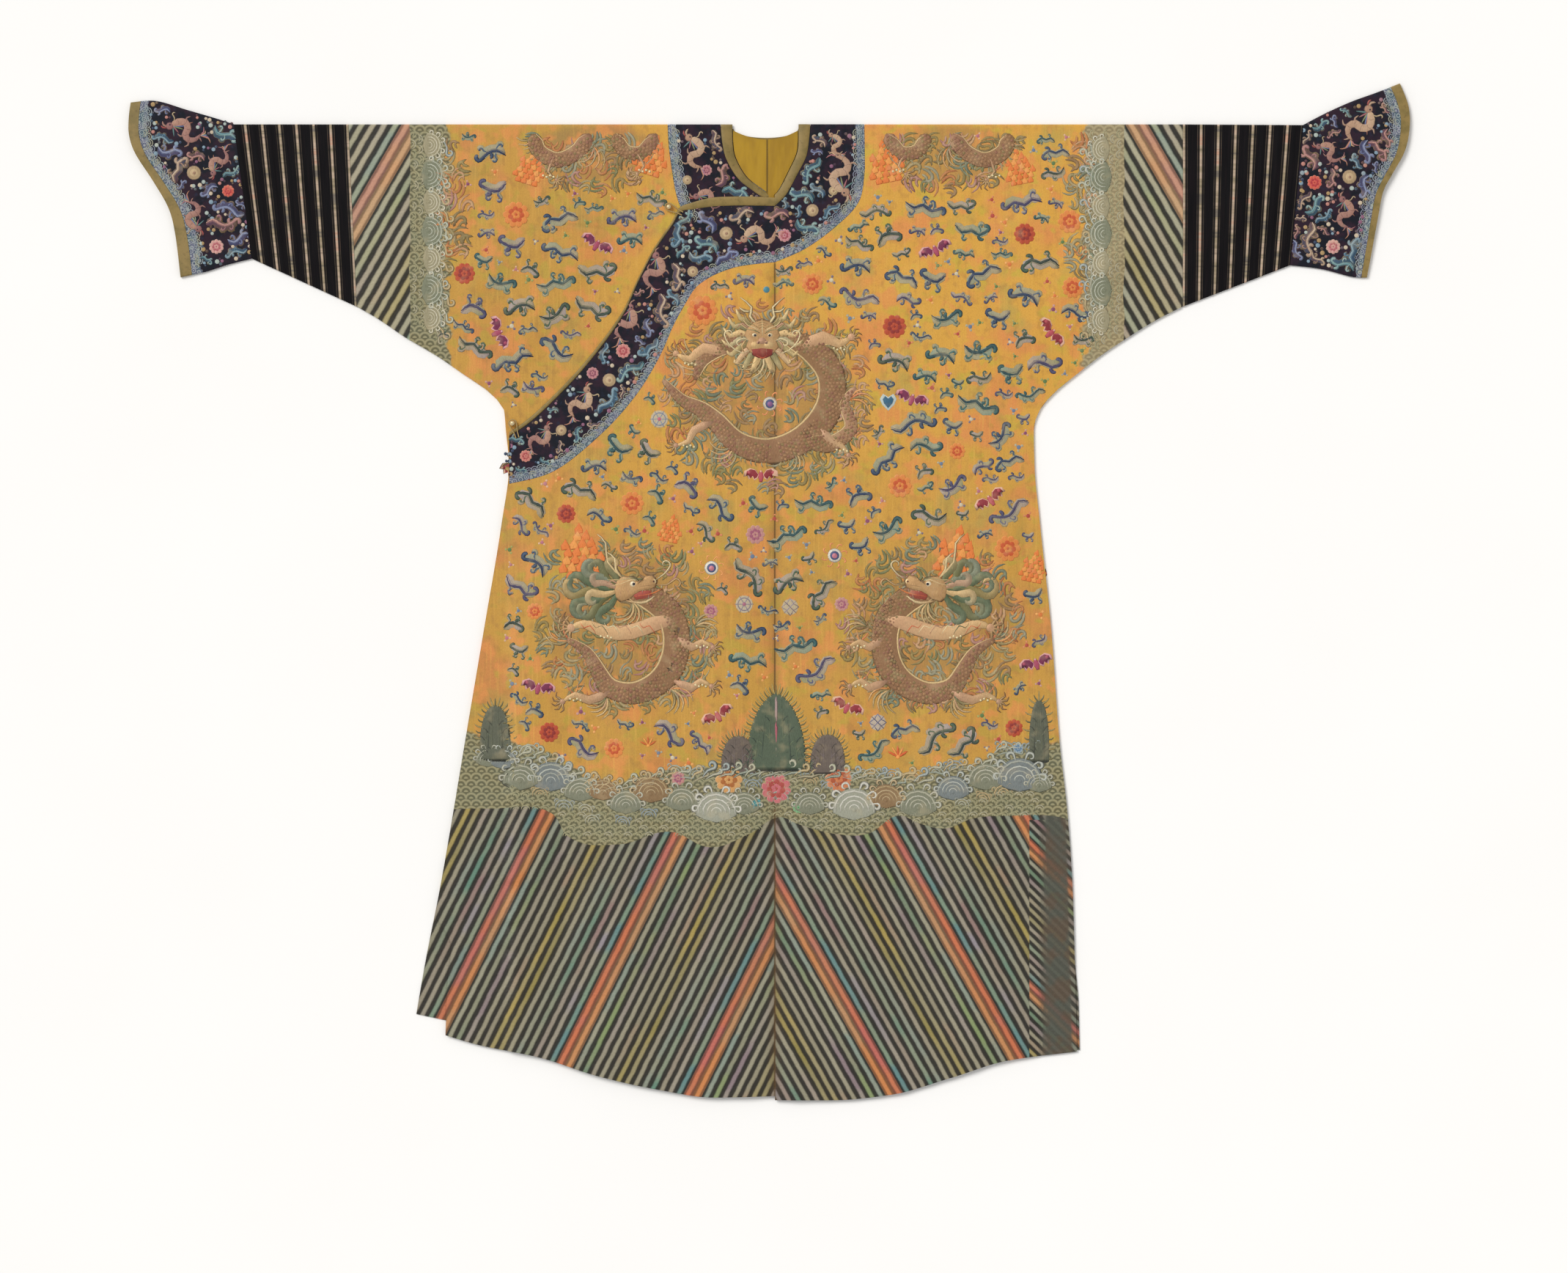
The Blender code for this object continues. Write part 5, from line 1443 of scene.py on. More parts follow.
def profileHead():                        # looks towards +x
    made = Motif()
    mane(made, -12, -2, [(2.2, 44, "green"), (2.5, 56, "mane"), (2.8, 62, "green"), (3.1, 66, "mane"),
                         (3.4, 62, "green"), (3.7, 52, "grey"), (4.0, 46, "mane"), (4.35, 38, "green"),
                         (2.95, 40, "belly"), (3.5, 36, "rose")])
    tuft(made, 4, 12, 1.35, "green belly mane belly green", 27, 0.3, 6.6)
    for dx, dy, tip, width in ((-10, -11, -16, 6.4), (-22, -20, -28, 5.4)):
        horn = [(-8, -15), (-8 + dx * 0.8, -15 + dy), (-8 + dx * 0.9, -17 + dy * 2),
                (-10 + tip, -20 + dy * 2.4)]
        made.hair(horn, width, "crest", "cream", 0.6, level=0.5, taper=(0.15, 0.7))
    made.patch([(2, 4), (13, -2), (27, -3), (30, 4), (20, 9), (6, 11)], "9c4a3c", "dark", 0.5, 0.2)
    made.stroke([(5, 6), (17, 4), (30, 1), (39, -4)], 4.2, "red", "tongue", "orange", 0.5, 0.4)
    made.hair([(-4, 10), (8, 13), (20, 12), (30, 5)], 7.4, "face", "cream", 0.6, level=0.35)
    made.patch(profileFace, "face", "dark", 0.8, 0.3, (0.86, 0.5))
    for x, y, dx, dy in ((28, -4, -1, 6), (16, -3, -1, 5), (22, 9, 1, -6)):
        made.hair([(x, y), (x + dx, y + dy)], 3, "efe6d2", level=0.7, taper=(0.4, 0.9), steps=1)
    for k, name in enumerate(("rose", "belly", "rose")):      # folds of the cheek
        made.hair([(-14 + 5 * k, -4), (-10 + 5 * k, 2), (-13 + 5 * k, 8)], 3.2, name, level=0.8)
    made.disc(28, -12, 4.4, "cream", "dark", level=0.7)
    made.disc(28.6, -12, 1.5, "nostril", sides=6, level=1.0)
    made.disc(4, -9, 4.4, "e0d0b0", "4f3c2e", sides=10, level=0.9)
    made.disc(5.2, -9, 2.3, "iris", sides=7, level=1.2)
    for k, (dx, dy, name) in enumerate(((-26, -6, "green"), (-24, 2, "cream"), (-20, 9, "mane"))):
        made.hair([(11, -13), (2, -16 + 2 * k), (-8, -14 + 4 * k), (dx, dy - 8)], 6.4 - k, name, "crest",
                  level=1.0 - 0.1 * k, taper=(0.2, 0.7))      # brows that stream back over the cheek
    made.stroke([(12, -6), (20, -7), (29, -8)], 2.6, "dark", "face", high=0.4, level=0.95, taper=(0.2, 0.4))
    made.hair([(-12, -8), (-20, -13), (-27, -10)], 6, "rose", level=0.6, taper=(0.3, 0.8))
    made.hair(hook([(31, -14), (41, -21), (48, -30)], 6, -1), 3.6, "cream", high=0.45, level=0.4)
    made.hair(hook([(31, -8), (44, -8), (54, -15)], 6, 1), 3.4, "belly", high=0.45, level=0.4)
    return made


def profileDragon():
    made = Motif()
    tuft(made, 62, 96, 0.7, "orange mane belly grey mane", 36, 0.32, 8)
    tuft(made, -30, 108, 2.0, "mane belly rose mane green", 32, 0.32, 8)
    tuft(made, 96, 6, -0.4, "mane grey belly mane", 34, 0.34, 8)
    tuft(made, -84, 26, -2.7, "mane orange grey mane red", 36, 0.34, 8.5)
    legOf(made, [(66, 84), (92, 94), (104, 84), (120, 92)], 15)
    legOf(made, [(-26, 100), (-56, 112), (-76, 104), (-94, 114)], 16)
    bodyOf(made, [(0, -40), (32, -34), (60, -12), (70, 22), (64, 60), (42, 88), (8, 102), (-26, 94),
                  (-44, 68), (-60, 42), (-88, 24)], 43)
    legOf(made, [(66, -4), (38, 2), (4, 14), (-32, 14), (-62, 2), (-82, 8)], 25, "peach", (0.15, 0.55), 1.5)
    for k, name in enumerate(("red", "cream", "rose", "cream", "green", "red")):      # shoulder bands
        x = 30 - 17 * k
        made.hair([(x + 9, 17), (x + 1, 5), (x - 8, 8), (x - 13, 1)], 5.4, name, level=0.6, taper=(0.3, 0.8))
    legOf(made, [(72, 22), (92, 36), (106, 28), (122, 36)], 15)
    made.join(profileHead(), 2, -44, 1.22, 0.35)
    return made


def frontalHead():
    made = Motif()
    for s in (-1, 1):                     # flames of the mane stand out all round
        for k, name in enumerate(("mane", "green", "belly", "grey", "mane", "rose", "green", "belly")):
            x, y = s * math.cos(-0.75 + 0.3 * k), math.sin(-0.75 + 0.3 * k)
            out = 50 - 2 * abs(k - 3)
            flame = [(x * 12, y * 12), (x * 28, y * 28 - 3), (x * 40 + y * 4 * s, y * 40 + 3),
                     (x * out, y * out - 6)]
            made.hair(flame, 9.6, name, "crest", 0.4, level=0.02 * k, taper=(0.3, 0.8))
        made.hair([(s * 7, -17), (s * 15, -27), (s * 13, -38), (s * 27, -50)], 6.4, "cream", high=0.6,
                  level=0.5, taper=(0.2, 0.8))
        made.hair([(s * 14, -33), (s * 22, -33), (s * 28, -38)], 4.4, "cream", level=0.45)
        made.hair([(s * 14, -9), (s * 24, -18), (s * 31, -13)], 6.4, "rose", level=0.45)
        made.hair(hook([(s * 8, 10), (s * 24, 18), (s * 40, 8), (s * 46, -4)], 6, -s), 4, "cream", level=0.6)
    tuft(made, 0, 18, math.pi / 2, "mane belly green cream green belly mane", 34, 0.26, 6.6)
    outline = [(0, -25)] + frontalFace + [(0, 24)] + [(-x, y) for x, y in frontalFace[::-1]]
    made.patch(outline, "face", "dark", 0.9, 0.3, (0.84, 0.5))
    mouth = [(-18, 12), (0, 10), (18, 12), (14, 21), (6, 25), (-6, 25), (-14, 21)]
    made.patch(mouth, "8c3c34", "5a2f2c", 0.3, 1.1)
    made.stroke([(-7, 20), (0, 24), (7, 20)], 5, "red", "tongue", level=1.3, taper=(0.3, 0.3))
    for x in (-12, -5, 5, 12):
        made.stroke([(x, 13), (x * 1.05, 20)], 3.2, "e6dabd", "8c6a50", level=1.3, taper=(0.3, 0.8), steps=1)
    for s in (-1, 1):
        made.disc(s * 8, 8, 8, "belly", "dark", sides=11, squash=0.72, high=0.4, level=1.1)
        made.hair(hook([(s * 14, 4), (s * 22, 0), (s * 30, 3)], 4, s), 4, "cream", high=0.4, level=0.9)
        made.disc(s * 9.5, -4, 4.0, "dccba6", "4f3c2e", sides=10, squash=0.8, level=1.1)
        made.disc(s * 8.8, -3.6, 2.1, "iris", sides=7, level=1.4)
        for k, name in enumerate(("green", "cream", "mane")):      # heavy brows that flame outwards
            brow = [(3, -6 - 3 * k), (10, -10 - 3 * k), (18, -11 - 5 * k), (27 - 3 * k, -18 - 6 * k)]
            made.hair([(s * x, y) for x, y in brow], 6 - k, name, "crest", level=1.25 - 0.1 * k,
                      taper=(0.15, 0.7))
        cheek = [(s * 19, 2), (s * 25, 9), (s * 22, 18)]
        made.hair(cheek, 5.4, ("belly", "rose")[s > 0], high=0.4, level=0.9)
    made.disc(0, 3, 6.6, "rose", "dark", sides=10, squash=0.8, level=1.35)
    for s in (-1, 1):
        made.disc(s * 5, 5, 2.9, "rose", "dark", sides=8, level=1.45)
        made.disc(s * 4.6, 5.6, 1.3, "nostril", sides=6, level=1.75)
    made.hair([(0, -24), (0, -14), (0, -3)], 6, "belly", "cream", level=1.15, taper=(0.3, 0.3))
    for k in range(3):
        fold = [(-6 + k, -18 + 3 * k), (0, -20 + 3 * k), (6 - k, -18 + 3 * k)]
        made.stroke(fold, 2.4, "mane", "belly", level=1.4)
    return made


def frontalDragon():
    made = Motif()
    tuft(made, -40, 158, 2.2, "grey mane belly orange grey", 36, 0.32, 8)
    tuft(made, 44, 166, 1.1, "mane belly grey mane", 30, 0.32, 8)
    tuft(made, 126, 92, -0.3, "orange red mane orange", 34, 0.32, 8)
    tuft(made, -76, 30, 2.7, "green orange mane rose green", 44, 0.3, 9)
    tuft(made, 84, 14, -0.1, "mane rose belly mane", 40, 0.3, 9)
    legOf(made, [(-50, 26), (-84, 18), (-104, 34), (-124, 26)], 19, "peach")
    bodyOf(made, [(64, 150), (98, 156), (128, 132), (118, 98), (134, 74)], 27, -1, taper=(0.1, 0.8),
           end="rose")
    bodyOf(made, [(-20, 8), (-54, 14), (-86, 36), (-96, 64)], 30, -1, taper=(0.1, 0.7))
    bodyOf(made, [(26, 2), (68, 18), (98, 54), (96, 104), (60, 148), (10, 166), (-36, 154), (-64, 126),
                  (-88, 106), (-116, 92), (-142, 64)], 44, 1, level=0.05)
    legOf(made, [(58, 16), (88, 2), (110, 12), (128, 2)], 22, "peach")
    legOf(made, [(-70, 124), (-98, 136), (-106, 152), (-124, 158)], 15)
    legOf(made, [(84, 134), (100, 152), (114, 158), (124, 172)], 15)
    made.join(frontalHead(), 0, 4, 1.18, 0.3)
    made.disc(6, -66, 5.5, "4f8796", "c9c2ae", level=0.1)
    return made


def wisp(core, tip, edge):                # two small curls side by side, and a tongue of flame
    made = Motif()
    made.stroke([(-13, 2), (-5, -4), (5, -6), (15, -2)], 8, tip, edge, core, 0.24, taper=(0.3, 0.5))
    made.stroke(hook([(-12, 6), (-4, 1), (4, 1)], 6.4, 1, 3), 8.4, core, edge, tip, 0.28, 0.04, (0.2, 0.1))
    made.stroke([(-6, 10), (1, 8), (5, 11), (2, 16)], 6.4, tip, edge, core, 0.28, 0.06, (0.2, 0.3))
    return made


def shoulderDragon():                     # the part of a dragon that hangs over the shoulder on to the front
    made = Motif()
    tuft(made, -2, 30, math.pi / 2, "mane orange grey rose mane", 34)
    bodyOf(made, [(-88, 12), (-82, 36), (-54, 50), (-24, 36), (-8, 12)], 25, -1, taper=(0.1, 0.1))
    bodyOf(made, [(28, 12), (42, 36), (68, 38), (88, 12)], 22, -1, taper=(0.1, 0.1))
    legOf(made, [(-60, 46), (-68, 66), (-56, 78)], 9)
    legOf(made, [(60, 40), (70, 58), (60, 70)], 9)
    tuft(made, -88, 14, 2.2, "grey orange mane", 26)
    return made


def peak(width, high, codes, bar=None, rounder=0.0):      # standing rock with a fringe of strokes round it
    made = Motif()
    body, shade, light, fringe, dark = codes
    shape = [(0.5, 0), (0.47 + 0.03 * rounder, 0.34), (0.36 + 0.07 * rounder, 0.62 + 0.04 * rounder),
             (0.2 + 0.06 * rounder, 0.85 + 0.06 * rounder)]
    side = [(width * x, -high * y) for x, y in shape]
    outline = [(-x, y) for x, y in side] + [(0, -high)] + side[::-1]
    for k, t in enumerate(np.linspace(0.03, 0.97, max(int(width * 0.56), 19))):
        at, back, on = (through(outline, np.array(v)) for v in (t, t - 0.02, t + 0.02))
        way = np.array([on[1] - back[1], back[0] - on[0]]) / math.dist(back, on)
        out = (8, 11)[k % 2] - 2 * rounder
        path = [at - way * 9, at + way * out * 0.5, at + way * out + (0, -3)]
        made.stroke(path, 4.4, (dark, fringe)[k % 2], (fringe, dark)[k % 2], high=0.34, taper=(0.2, 0.7))
    made.patch(through(outline, np.linspace(0, 1, 33)), body, shade, 0.36,
               insets=(0.9, 0.75, 0.6, 0.45, 0.3, 0.15))
    for s in (-1, 1):
        for k in range(max(int(width / 14), 2)):
            x = s * width * (0.11 + 0.11 * k)
            tall = high * (0.9 - 0.19 * k)
            ridge = [(x * 1.1, -2), (x, -tall * 0.5), (x * 0.8, -tall)]
            made.stroke(ridge, 4.2, (light, shade)[k % 2], shade, body, 0.34, 0.5, (0.1, 0.6))
            for j in range(3):
                y = -tall * (0.2 + 0.25 * j)
                twig = [(x, y), (x + s * 3, y - 5), (x + s * 7, y - 7)]
                made.stroke(twig, 3.2, (shade, light)[j % 2], shade, level=0.5)
    for colour, low, top, level in zip(bar or (), (0, 0.3, 0.62), (0.3, 0.62, 0.94), (1.5, 1.2, 0.8)):
        line = [(0, -high * share) for share in (low, (low + top) / 2, top)]
        made.stroke(line, 6.6, colour, "5c4a50", high=0.4, level=level, taper=(0.1, 0.1))
    return made


class Layer:                              # geometry nodes that lay motifs on the cloth
    def __init__(self, name):
        self.tree = bpy.data.node_groups.new(name, "GeometryNodeTree")
        self.tree.interface.new_socket("Geometry", in_out="OUTPUT", socket_type="NodeSocketGeometry")
        self.keys = {}

    def entry(self, name, kind):
        self.keys[name] = self.tree.interface.new_socket(name, in_out="INPUT", socket_type=kind).identifier

    def node(self, kind, settings=None, links=None, out=0):
        made = self.tree.nodes.new(kind)
        for key, value in (settings or {}).items():
            setattr(made, key, value)
        for key, value in (links or {}).items():
            if isinstance(value, bpy.types.NodeSocket):
                self.tree.links.new(value, made.inputs[key])
            else:
                made.inputs[key].default_value = value
        return made.outputs[out] if made.outputs else None

    def attribute(self, name, kind):
        return self.node("GeometryNodeInputNamedAttribute", {"data_type": kind}, {"Name": name})

    def vector(self, x=0.0, y=0.0, z=0.0):
        return self.node("ShaderNodeCombineXYZ", None, {0: x, 1: y, 2: z})

    def split(self, vector, k):
        return self.node("ShaderNodeSeparateXYZ", None, {0: vector}, k)

    def maths(self, operation, a, b):
        return self.node("ShaderNodeMath", {"operation": operation}, {0: a, 1: b})


def layingTree():
    t = Layer("layMotifs")
    for name, kind in (("Geometry", "Geometry"), ("Motifs", "Collection"), ("Cloth", "Object"),
                       ("Finish", "Material")):
        t.entry(name, "NodeSocket" + kind)
    group = t.tree.nodes.new("NodeGroupInput").outputs
    spots = t.node("GeometryNodeMeshToPoints", None, {0: group["Geometry"], "Radius": 0.001})
    shapes = t.node("GeometryNodeCollectionInfo", None,
                    {"Collection": group["Motifs"], "Separate Children": True, "Reset Children": True})
    size = t.attribute("size", "FLOAT")
    placed = t.node("GeometryNodeInstanceOnPoints", None,
                    {"Points": spots, "Instance": shapes, "Pick Instance": True,
                     "Instance Index": t.attribute("kind", "INT"),
                     "Rotation": t.vector(z=t.attribute("turn", "FLOAT")),
                     "Scale": t.vector(size, size, 1.0)})
    lifted = t.node("GeometryNodeTranslateInstances", None,
                    {0: placed, "Translation": t.vector(z=t.attribute("lift", "FLOAT"))})
    made = t.node("GeometryNodeRealizeInstances", None, {0: lifted})
    at = t.node("GeometryNodeInputPosition")
    x, y, z = (t.split(at, k) for k in range(3))
    cloth = t.node("GeometryNodeObjectInfo", None, {"Object": group["Cloth"]}, 4)
    cast = t.node("GeometryNodeRaycast", None,
                  {"Target Geometry": cloth, "Source Position": t.vector(x, y, 1.0),
                   "Ray Direction": t.vector(z=-1.0), "Ray Length": 2.0}, 1)
    laid = t.node("GeometryNodeSetPosition", None,
                  {"Geometry": made, "Position": t.vector(x, y, t.maths("ADD", t.split(cast, 2), z))})
    done = t.node("GeometryNodeSetMaterial", None, {"Geometry": laid, "Material": group["Finish"]})
    t.node("NodeGroupOutput", None, {0: done})
    return t


laying = layingTree()


def clothUnder(name, pieces):             # the pieces' meshes as one, to lay motifs on
    points, faces = [], []
    for piece in pieces:
        mesh = piece.data
        start = len(points)
        points += [v.co[:] for v in mesh.vertices]
        faces += [[start + k for k in face.vertices] for face in mesh.polygons]
    mesh = bpy.data.meshes.new(name)
    mesh.from_pydata(points, [], faces)
    return linked(name, mesh)


class Spread:                             # motifs waiting to be laid on one cloth
    def __init__(self, name, cloth, finish):
        self.name, self.cloth, self.finish = name, cloth, finish
        self.shapes, self.rows = [], []

    def shape(self, motif):
        self.shapes.append(motif)
        return len(self.shapes) - 1

    def put(self, kind, x, drop, turn=0.0, size=1.0, lift=0.0):
        self.rows.append((x, drop, kind, turn, size, lift))

    def lay(self):
        pool = bpy.data.collections.new(self.name + "Shapes")
        kept = [bpy.data.objects.new(f"{self.name}{k:03d}", shape.mesh(f"{self.name}{k:03d}"))
                for k, shape in enumerate(self.shapes)]
        for one in kept:
            pool.objects.link(one)
        mesh = bpy.data.meshes.new(self.name)
        mesh.from_pydata(world([(x, drop, 0) for x, drop, *_ in self.rows]).tolist(), [], [])
        for key, kind, column, factor in (("kind", "INT", 2, 1), ("turn", "FLOAT", 3, -1),
                                          ("size", "FLOAT", 4, 1), ("lift", "FLOAT", 5, mm)):
            values = [row[column] * factor for row in self.rows]
            mesh.attributes.new(key, kind, "POINT").data.foreach_set("value", values)
        holder = linked(self.name, mesh)
        nodes = holder.modifiers.new("lay", "NODES")
        nodes.node_group = laying.tree
        for key, value in (("Motifs", pool), ("Cloth", self.cloth), ("Finish", finishes[self.finish])):
            nodes[laying.keys[key]] = value
        made = bpy.data.meshes.new_from_object(holder.evaluated_get(bpy.context.evaluated_depsgraph_get()))
        for one in [holder] + kept:
            bpy.data.objects.remove(one)
        bpy.data.collections.remove(pool)
        made.name = self.name
        made.shade_smooth()
        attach(linked(self.name, made), "root")
        print(self.name, "laid,", sum(len(face.vertices) - 2 for face in made.polygons), "triangles")


draw = random.Random(7)
fullTurn = 6.3                            # largest turn drawn for a motif, in radians


class Room:                               # which small squares of the cloth are taken
    def __init__(self, step=4.0):
        self.step, self.taken = step, set()

    def cells(self, points):
        return {(round(x / self.step), round(y / self.step)) for x, y in points}

    def fill(self, points, grow=1):
        for i, j in self.cells(points):
            self.taken.update((i + a, j + b) for a in range(-grow, grow + 1) for b in range(-grow, grow + 1))

    def share(self, points):
        cells = self.cells(points)
        return len(cells & self.taken) / len(cells)


def moved(motif, x, drop, turn, size):
    c, s = math.cos(turn) * size, math.sin(turn) * size
    return [(x + px * c - py * s, drop + px * s + py * c) for px, py, _ in motif.points[::2]]


def onFront(points, margin):              # all inside the front's edge
    x, drop = np.array(points).T
    half = np.where(x > 0, sideX(drop, "left"), sideX(drop, "right"))
    low = np.interp(np.abs(x), [376, 400, 435, 508, 587], [1400, 402, 352, 299, 255])
    hem = np.interp(np.abs(x), [0, 170, 335, 436], [1390, 1380, 1330, 1310])
    return bool(np.all((np.abs(x) < half - margin) & (drop > 9) & (drop < np.minimum(low, hem) - margin)))


def between(rows, x):
    return float(np.interp(x, [row[0] for row in rows], [row[1] for row in rows]))


frontCloth = clothUnder("frontCloth", [left, right, front])
room, onTop = Room(), Room()
for rows in (collarLeft, collarRight, flap):      # the collar, the neck and the flap's band stay clear
    for row in refined(rows, 8):
        seam, outer = row[:2], row[2:4]
        way = (outer - seam) / np.linalg.norm(outer - seam)
        onBand = [seam + (outer - seam) * k / 24 for k in range(25)]
        room.fill(onBand + [seam - way * k for k in range(0, 18, 3)])
for drop in range(0, 130, 3):
    start, end = (float(np.interp(drop, [row[3] for row in rows], [row[2] for row in rows]))
                  for rows in (collarRight, collarLeft))
    room.fill([(x, drop) for x in np.arange(start, end, 3)])
collarRoom = Room()
collarRoom.taken = set(room.taken)

goldWork = Spread("goldDragons", frontCloth, "gold")
floss = Spread("flossWork", frontCloth, "floss")
scaleKinds = [goldWork.shape(scale(*dyes)) for dyes in
              (("966f4e", "6f5036"), ("a07a56", "7a5a3e"), ("8f644e", "694837"), ("8a744c", "605736"))]


def placeOne(spread, motif, x, drop, turn=0.0, size=1.0, grow=1):
    spread.put(spread.shape(motif), x, drop, turn, size)
    room.fill(moved(motif, x, drop, turn, size), grow)
    if spread is floss or not motif.scales:
        onTop.fill(moved(motif, x, drop, turn, size), 0)
    c, s = math.cos(turn) * size, math.sin(turn) * size
    for sx, sy, st, k in motif.scales:
        at = (x + sx * c - sy * s, drop + sx * s + sy * c)
        spread.put(draw.choice(scaleKinds), *at, turn + st, size * k, 0.5)


placeOne(goldWork, frontalDragon(), -18, 304)
placeOne(goldWork, profileDragon(), -211, 716)
placeOne(goldWork, profileDragon().flipped(), 228, 716)
placeOne(goldWork, shoulderDragon(), -258, 2)
placeOne(goldWork, shoulderDragon().flipped(), 248, 2)
for x, drop, dyes in ((-91, 638, ("d5cfc0", "c07a86", "e0955a")), (86, 620, ("d5cfc0", "c07a86", "d9825a")),
                      (-7, 402, ("c9bda6", "8a5f86", "d9825a"))):
    placeOne(goldWork, pearl(*dyes), x, drop, 0, 1.15)
flowerDyes = {"orange": ("c4562a", "db8540", "e0a25a"), "red": ("8f2f28", "b5492c", "cf7a3c"),
              "pink": ("a05a70", "bd8680", "d6b396")}
for x, drop, turn, size, name in (
        (-104, 268, 0, 1.3, "orange"), (54, 230, 0.4, 0.9, "orange"), (172, 291, 0, 1.0, "red"),
        (359, 158, 0, 0.9, "red"), (-231, 897, 0, 0.85, "orange"), (-324, 874, 0, 0.85, "red"),
        (344, 868, 0.3, 0.75, "red"), (-28, 590, 0, 0.8, "pink"), (424, 140, 0, 1.0, "orange"),
        (428, 235, 0, 0.9, "orange"), (-205, 545, 0, 1.0, "orange"), (180, 520, 0, 1.0, "orange"),
        (335, 610, 0, 1.1, "orange"), (96, 690, 0, 0.6, "pink"), (-92, 700, 0, 0.6, "pink"),
        (-300, 560, 0, 0.8, "red"), (262, 470, 0, 0.7, "orange"), (-345, 700, 0, 0.7, "orange"),
        (-372, 130, 0, 1.1, "orange"), (-446, 215, 0, 0.9, "red")):
    placeOne(floss, flower(*flowerDyes[name]), x, drop, turn, size)
for x, drop, turn, size in ((-278, 622, -0.1, 1.35), (262, 624, 0.1, 1.35), (-178, 50, 0.3, 1.0),
                            (160, 60, -0.2, 1.05), (372, 640, 0.2, 0.8), (-352, 66, 0.3, 0.9),
                            (352, 66, -0.2, 0.9), (-150, 585, 0.2, 0.7)):
    placeOne(floss, blaze("e07c38", "b5482a", "e89a4c"), x, drop, turn, size)
batDyes = [("74284a", "a84a63", "d8a0a0"), ("8c2a33", "b8505a", "e0b096")]
for k, (x, drop, turn) in enumerate((
        (231, 181, -0.4), (397, 300, 0.9), (-256, 173, 0.5), (-82, 850, -0.5), (-340, 810, 0.2),
        (104, 838, 0.4), (-398, 300, 1.2), (310, 540, -0.6), (197, 395, 0.3), (-372, 503, 0.4),
        (376, 775, -0.3), (-20, 505, 0))):
    placeOne(floss, bat(*batDyes[k % 2]), x, drop, turn, 1.15)
for motif, x, drop, size in (
        (heart("35617c", "b9c4c0"), 163, 398, 1.0), (wheel("5b6f92", "7f93a4", "c0607a"), -166, 424, 1.0),
        (knot("2c3560", "5a5c88", "b9aa98"), 148, 860, 1.0), (fan("d9622c", "efa050"), 177, 903, 1.1),
        (fan("d06a2c", "f0a850"), -182, 888, 0.9), (wheel("6a6078", "8a8494", "a8697c"), -44, 690, 1.0),
        (knot("6a5a6a", "8f8494", "b9a888"), 22, 694, 1.0)):
    placeOne(floss, motif, x, drop, 0, size)

# the rocks that stand in the water: body, shade, light, and the two dyes of the fringe
rocks = {"centre": ("515e4a", "38443a", "6c785a", "c2a55c", "414b34"),
         "beside": ("675b52", "463f3a", "7a6c6c", "b89c58", "4c4d36"),
         "edge": ("5c5f4e", "40443a", "6f735c", "a8945c", "444a36"), "bar": ("c9b0a0", "b5626c", "b59a94")}
placeOne(floss, peak(88, 114, rocks["centre"], rocks["bar"], 0.4), 2, 930)
for name, x, drop, width, high in (("beside", 76, 934, 52, 58), ("beside", -52, 934, 52, 56),
                                   ("edge", -402, 916, 46, 82), ("edge", 380, 918, 30, 92)):
    placeOne(floss, peak(width, high, rocks[name], rounder=1.0), x, drop)

# bunches of curls crowd round the dragons, under and beside them
crowd = Spread("curlWork", frontCloth, "floss")
curlDyes = [("66704a", "8f8c5c"), ("7d7244", "a68f54"), ("876846", "ad8a60"), ("bd8660", "d2ab80"),
            ("a8706c", "c49684"), ("84866f", "a9a488"), ("b0643a", "cf9054"), ("5c6e60", "8a9478"),
            ("bda87c", "877f52"), ("7a6444", "9a8a58")]
bunches = [wisp(core, tip, "7d6238") for core, tip in curlDyes]
bunchKinds = [crowd.shape(one) for one in bunches]
crowded = Room()
# x and drop of the middle, half width, half height, and how many are tried
for x, drop, wide, tall, count in (
        (-12, 392, 150, 132, 1500), (-211, 722, 128, 120, 1200), (228, 722, 128, 120, 1200),
        (-258, 44, 108, 48, 500), (250, 44, 108, 48, 500), (436, 120, 16, 110, 160),
        (-462, 130, 16, 110, 160), (-278, 624, 42, 36, 90), (264, 624, 42, 36, 90)):
    for _ in range(count):
        turn, reach = draw.uniform(0, 2 * math.pi), math.sqrt(draw.random())
        atX, atDrop = x + wide * reach * math.cos(turn), drop + tall * reach * math.sin(turn)
        lean, size = draw.uniform(0, fullTurn), draw.uniform(0.8, 1.15)
        points = moved(bunches[0], atX, atDrop, lean, size)
        if (onFront(points, 5) and crowded.share(points) < 0.42 and onTop.share(points) < 0.1
                and not collarRoom.share(points)):
            crowd.put(draw.randrange(len(bunchKinds)), atX, atDrop, lean, size)
            crowded.fill(points, 0)
            room.fill(points, 0)

# clouds thrown where there is room: the large ones first
sky = Spread("cloudWork", frontCloth, "floss")
clouds = [cloud(shape, dyes) for dyes in cloudDyes for shape in cloudShapes]
clouds = [one if k % 2 else one.flipped() for k, one in enumerate(clouds)]
for one in clouds:
    sky.shape(one)
sleeveWater = {"left": 440, "right": 462}      # where the sleeves' water begins


def throwClouds(tries, sizes, limit, grow):
    laid = 0
    for _ in range(tries):
        x, drop = draw.uniform(-480, 480), draw.uniform(15, 900)
        water = sleeveWater["left" if x > 0 else "right"]
        if drop > between(waterTop, x) - 8 or (drop < 300 and abs(x) > water) or abs(x) < 2:
            continue
        k = draw.randrange(len(clouds))
        lean = 0.45 * (drop > 440) * (1 if x < 0 else -1)
        turn, size = draw.choice((0, math.pi)) + lean + draw.uniform(-0.45, 0.45), draw.uniform(*sizes)
        points = moved(clouds[k], x, drop, turn, size)
        if onFront(points, 5) and room.share(points) < limit:
            sky.put(k, x, drop, turn, size)
            room.fill(points, grow)
            laid += 1
    return laid


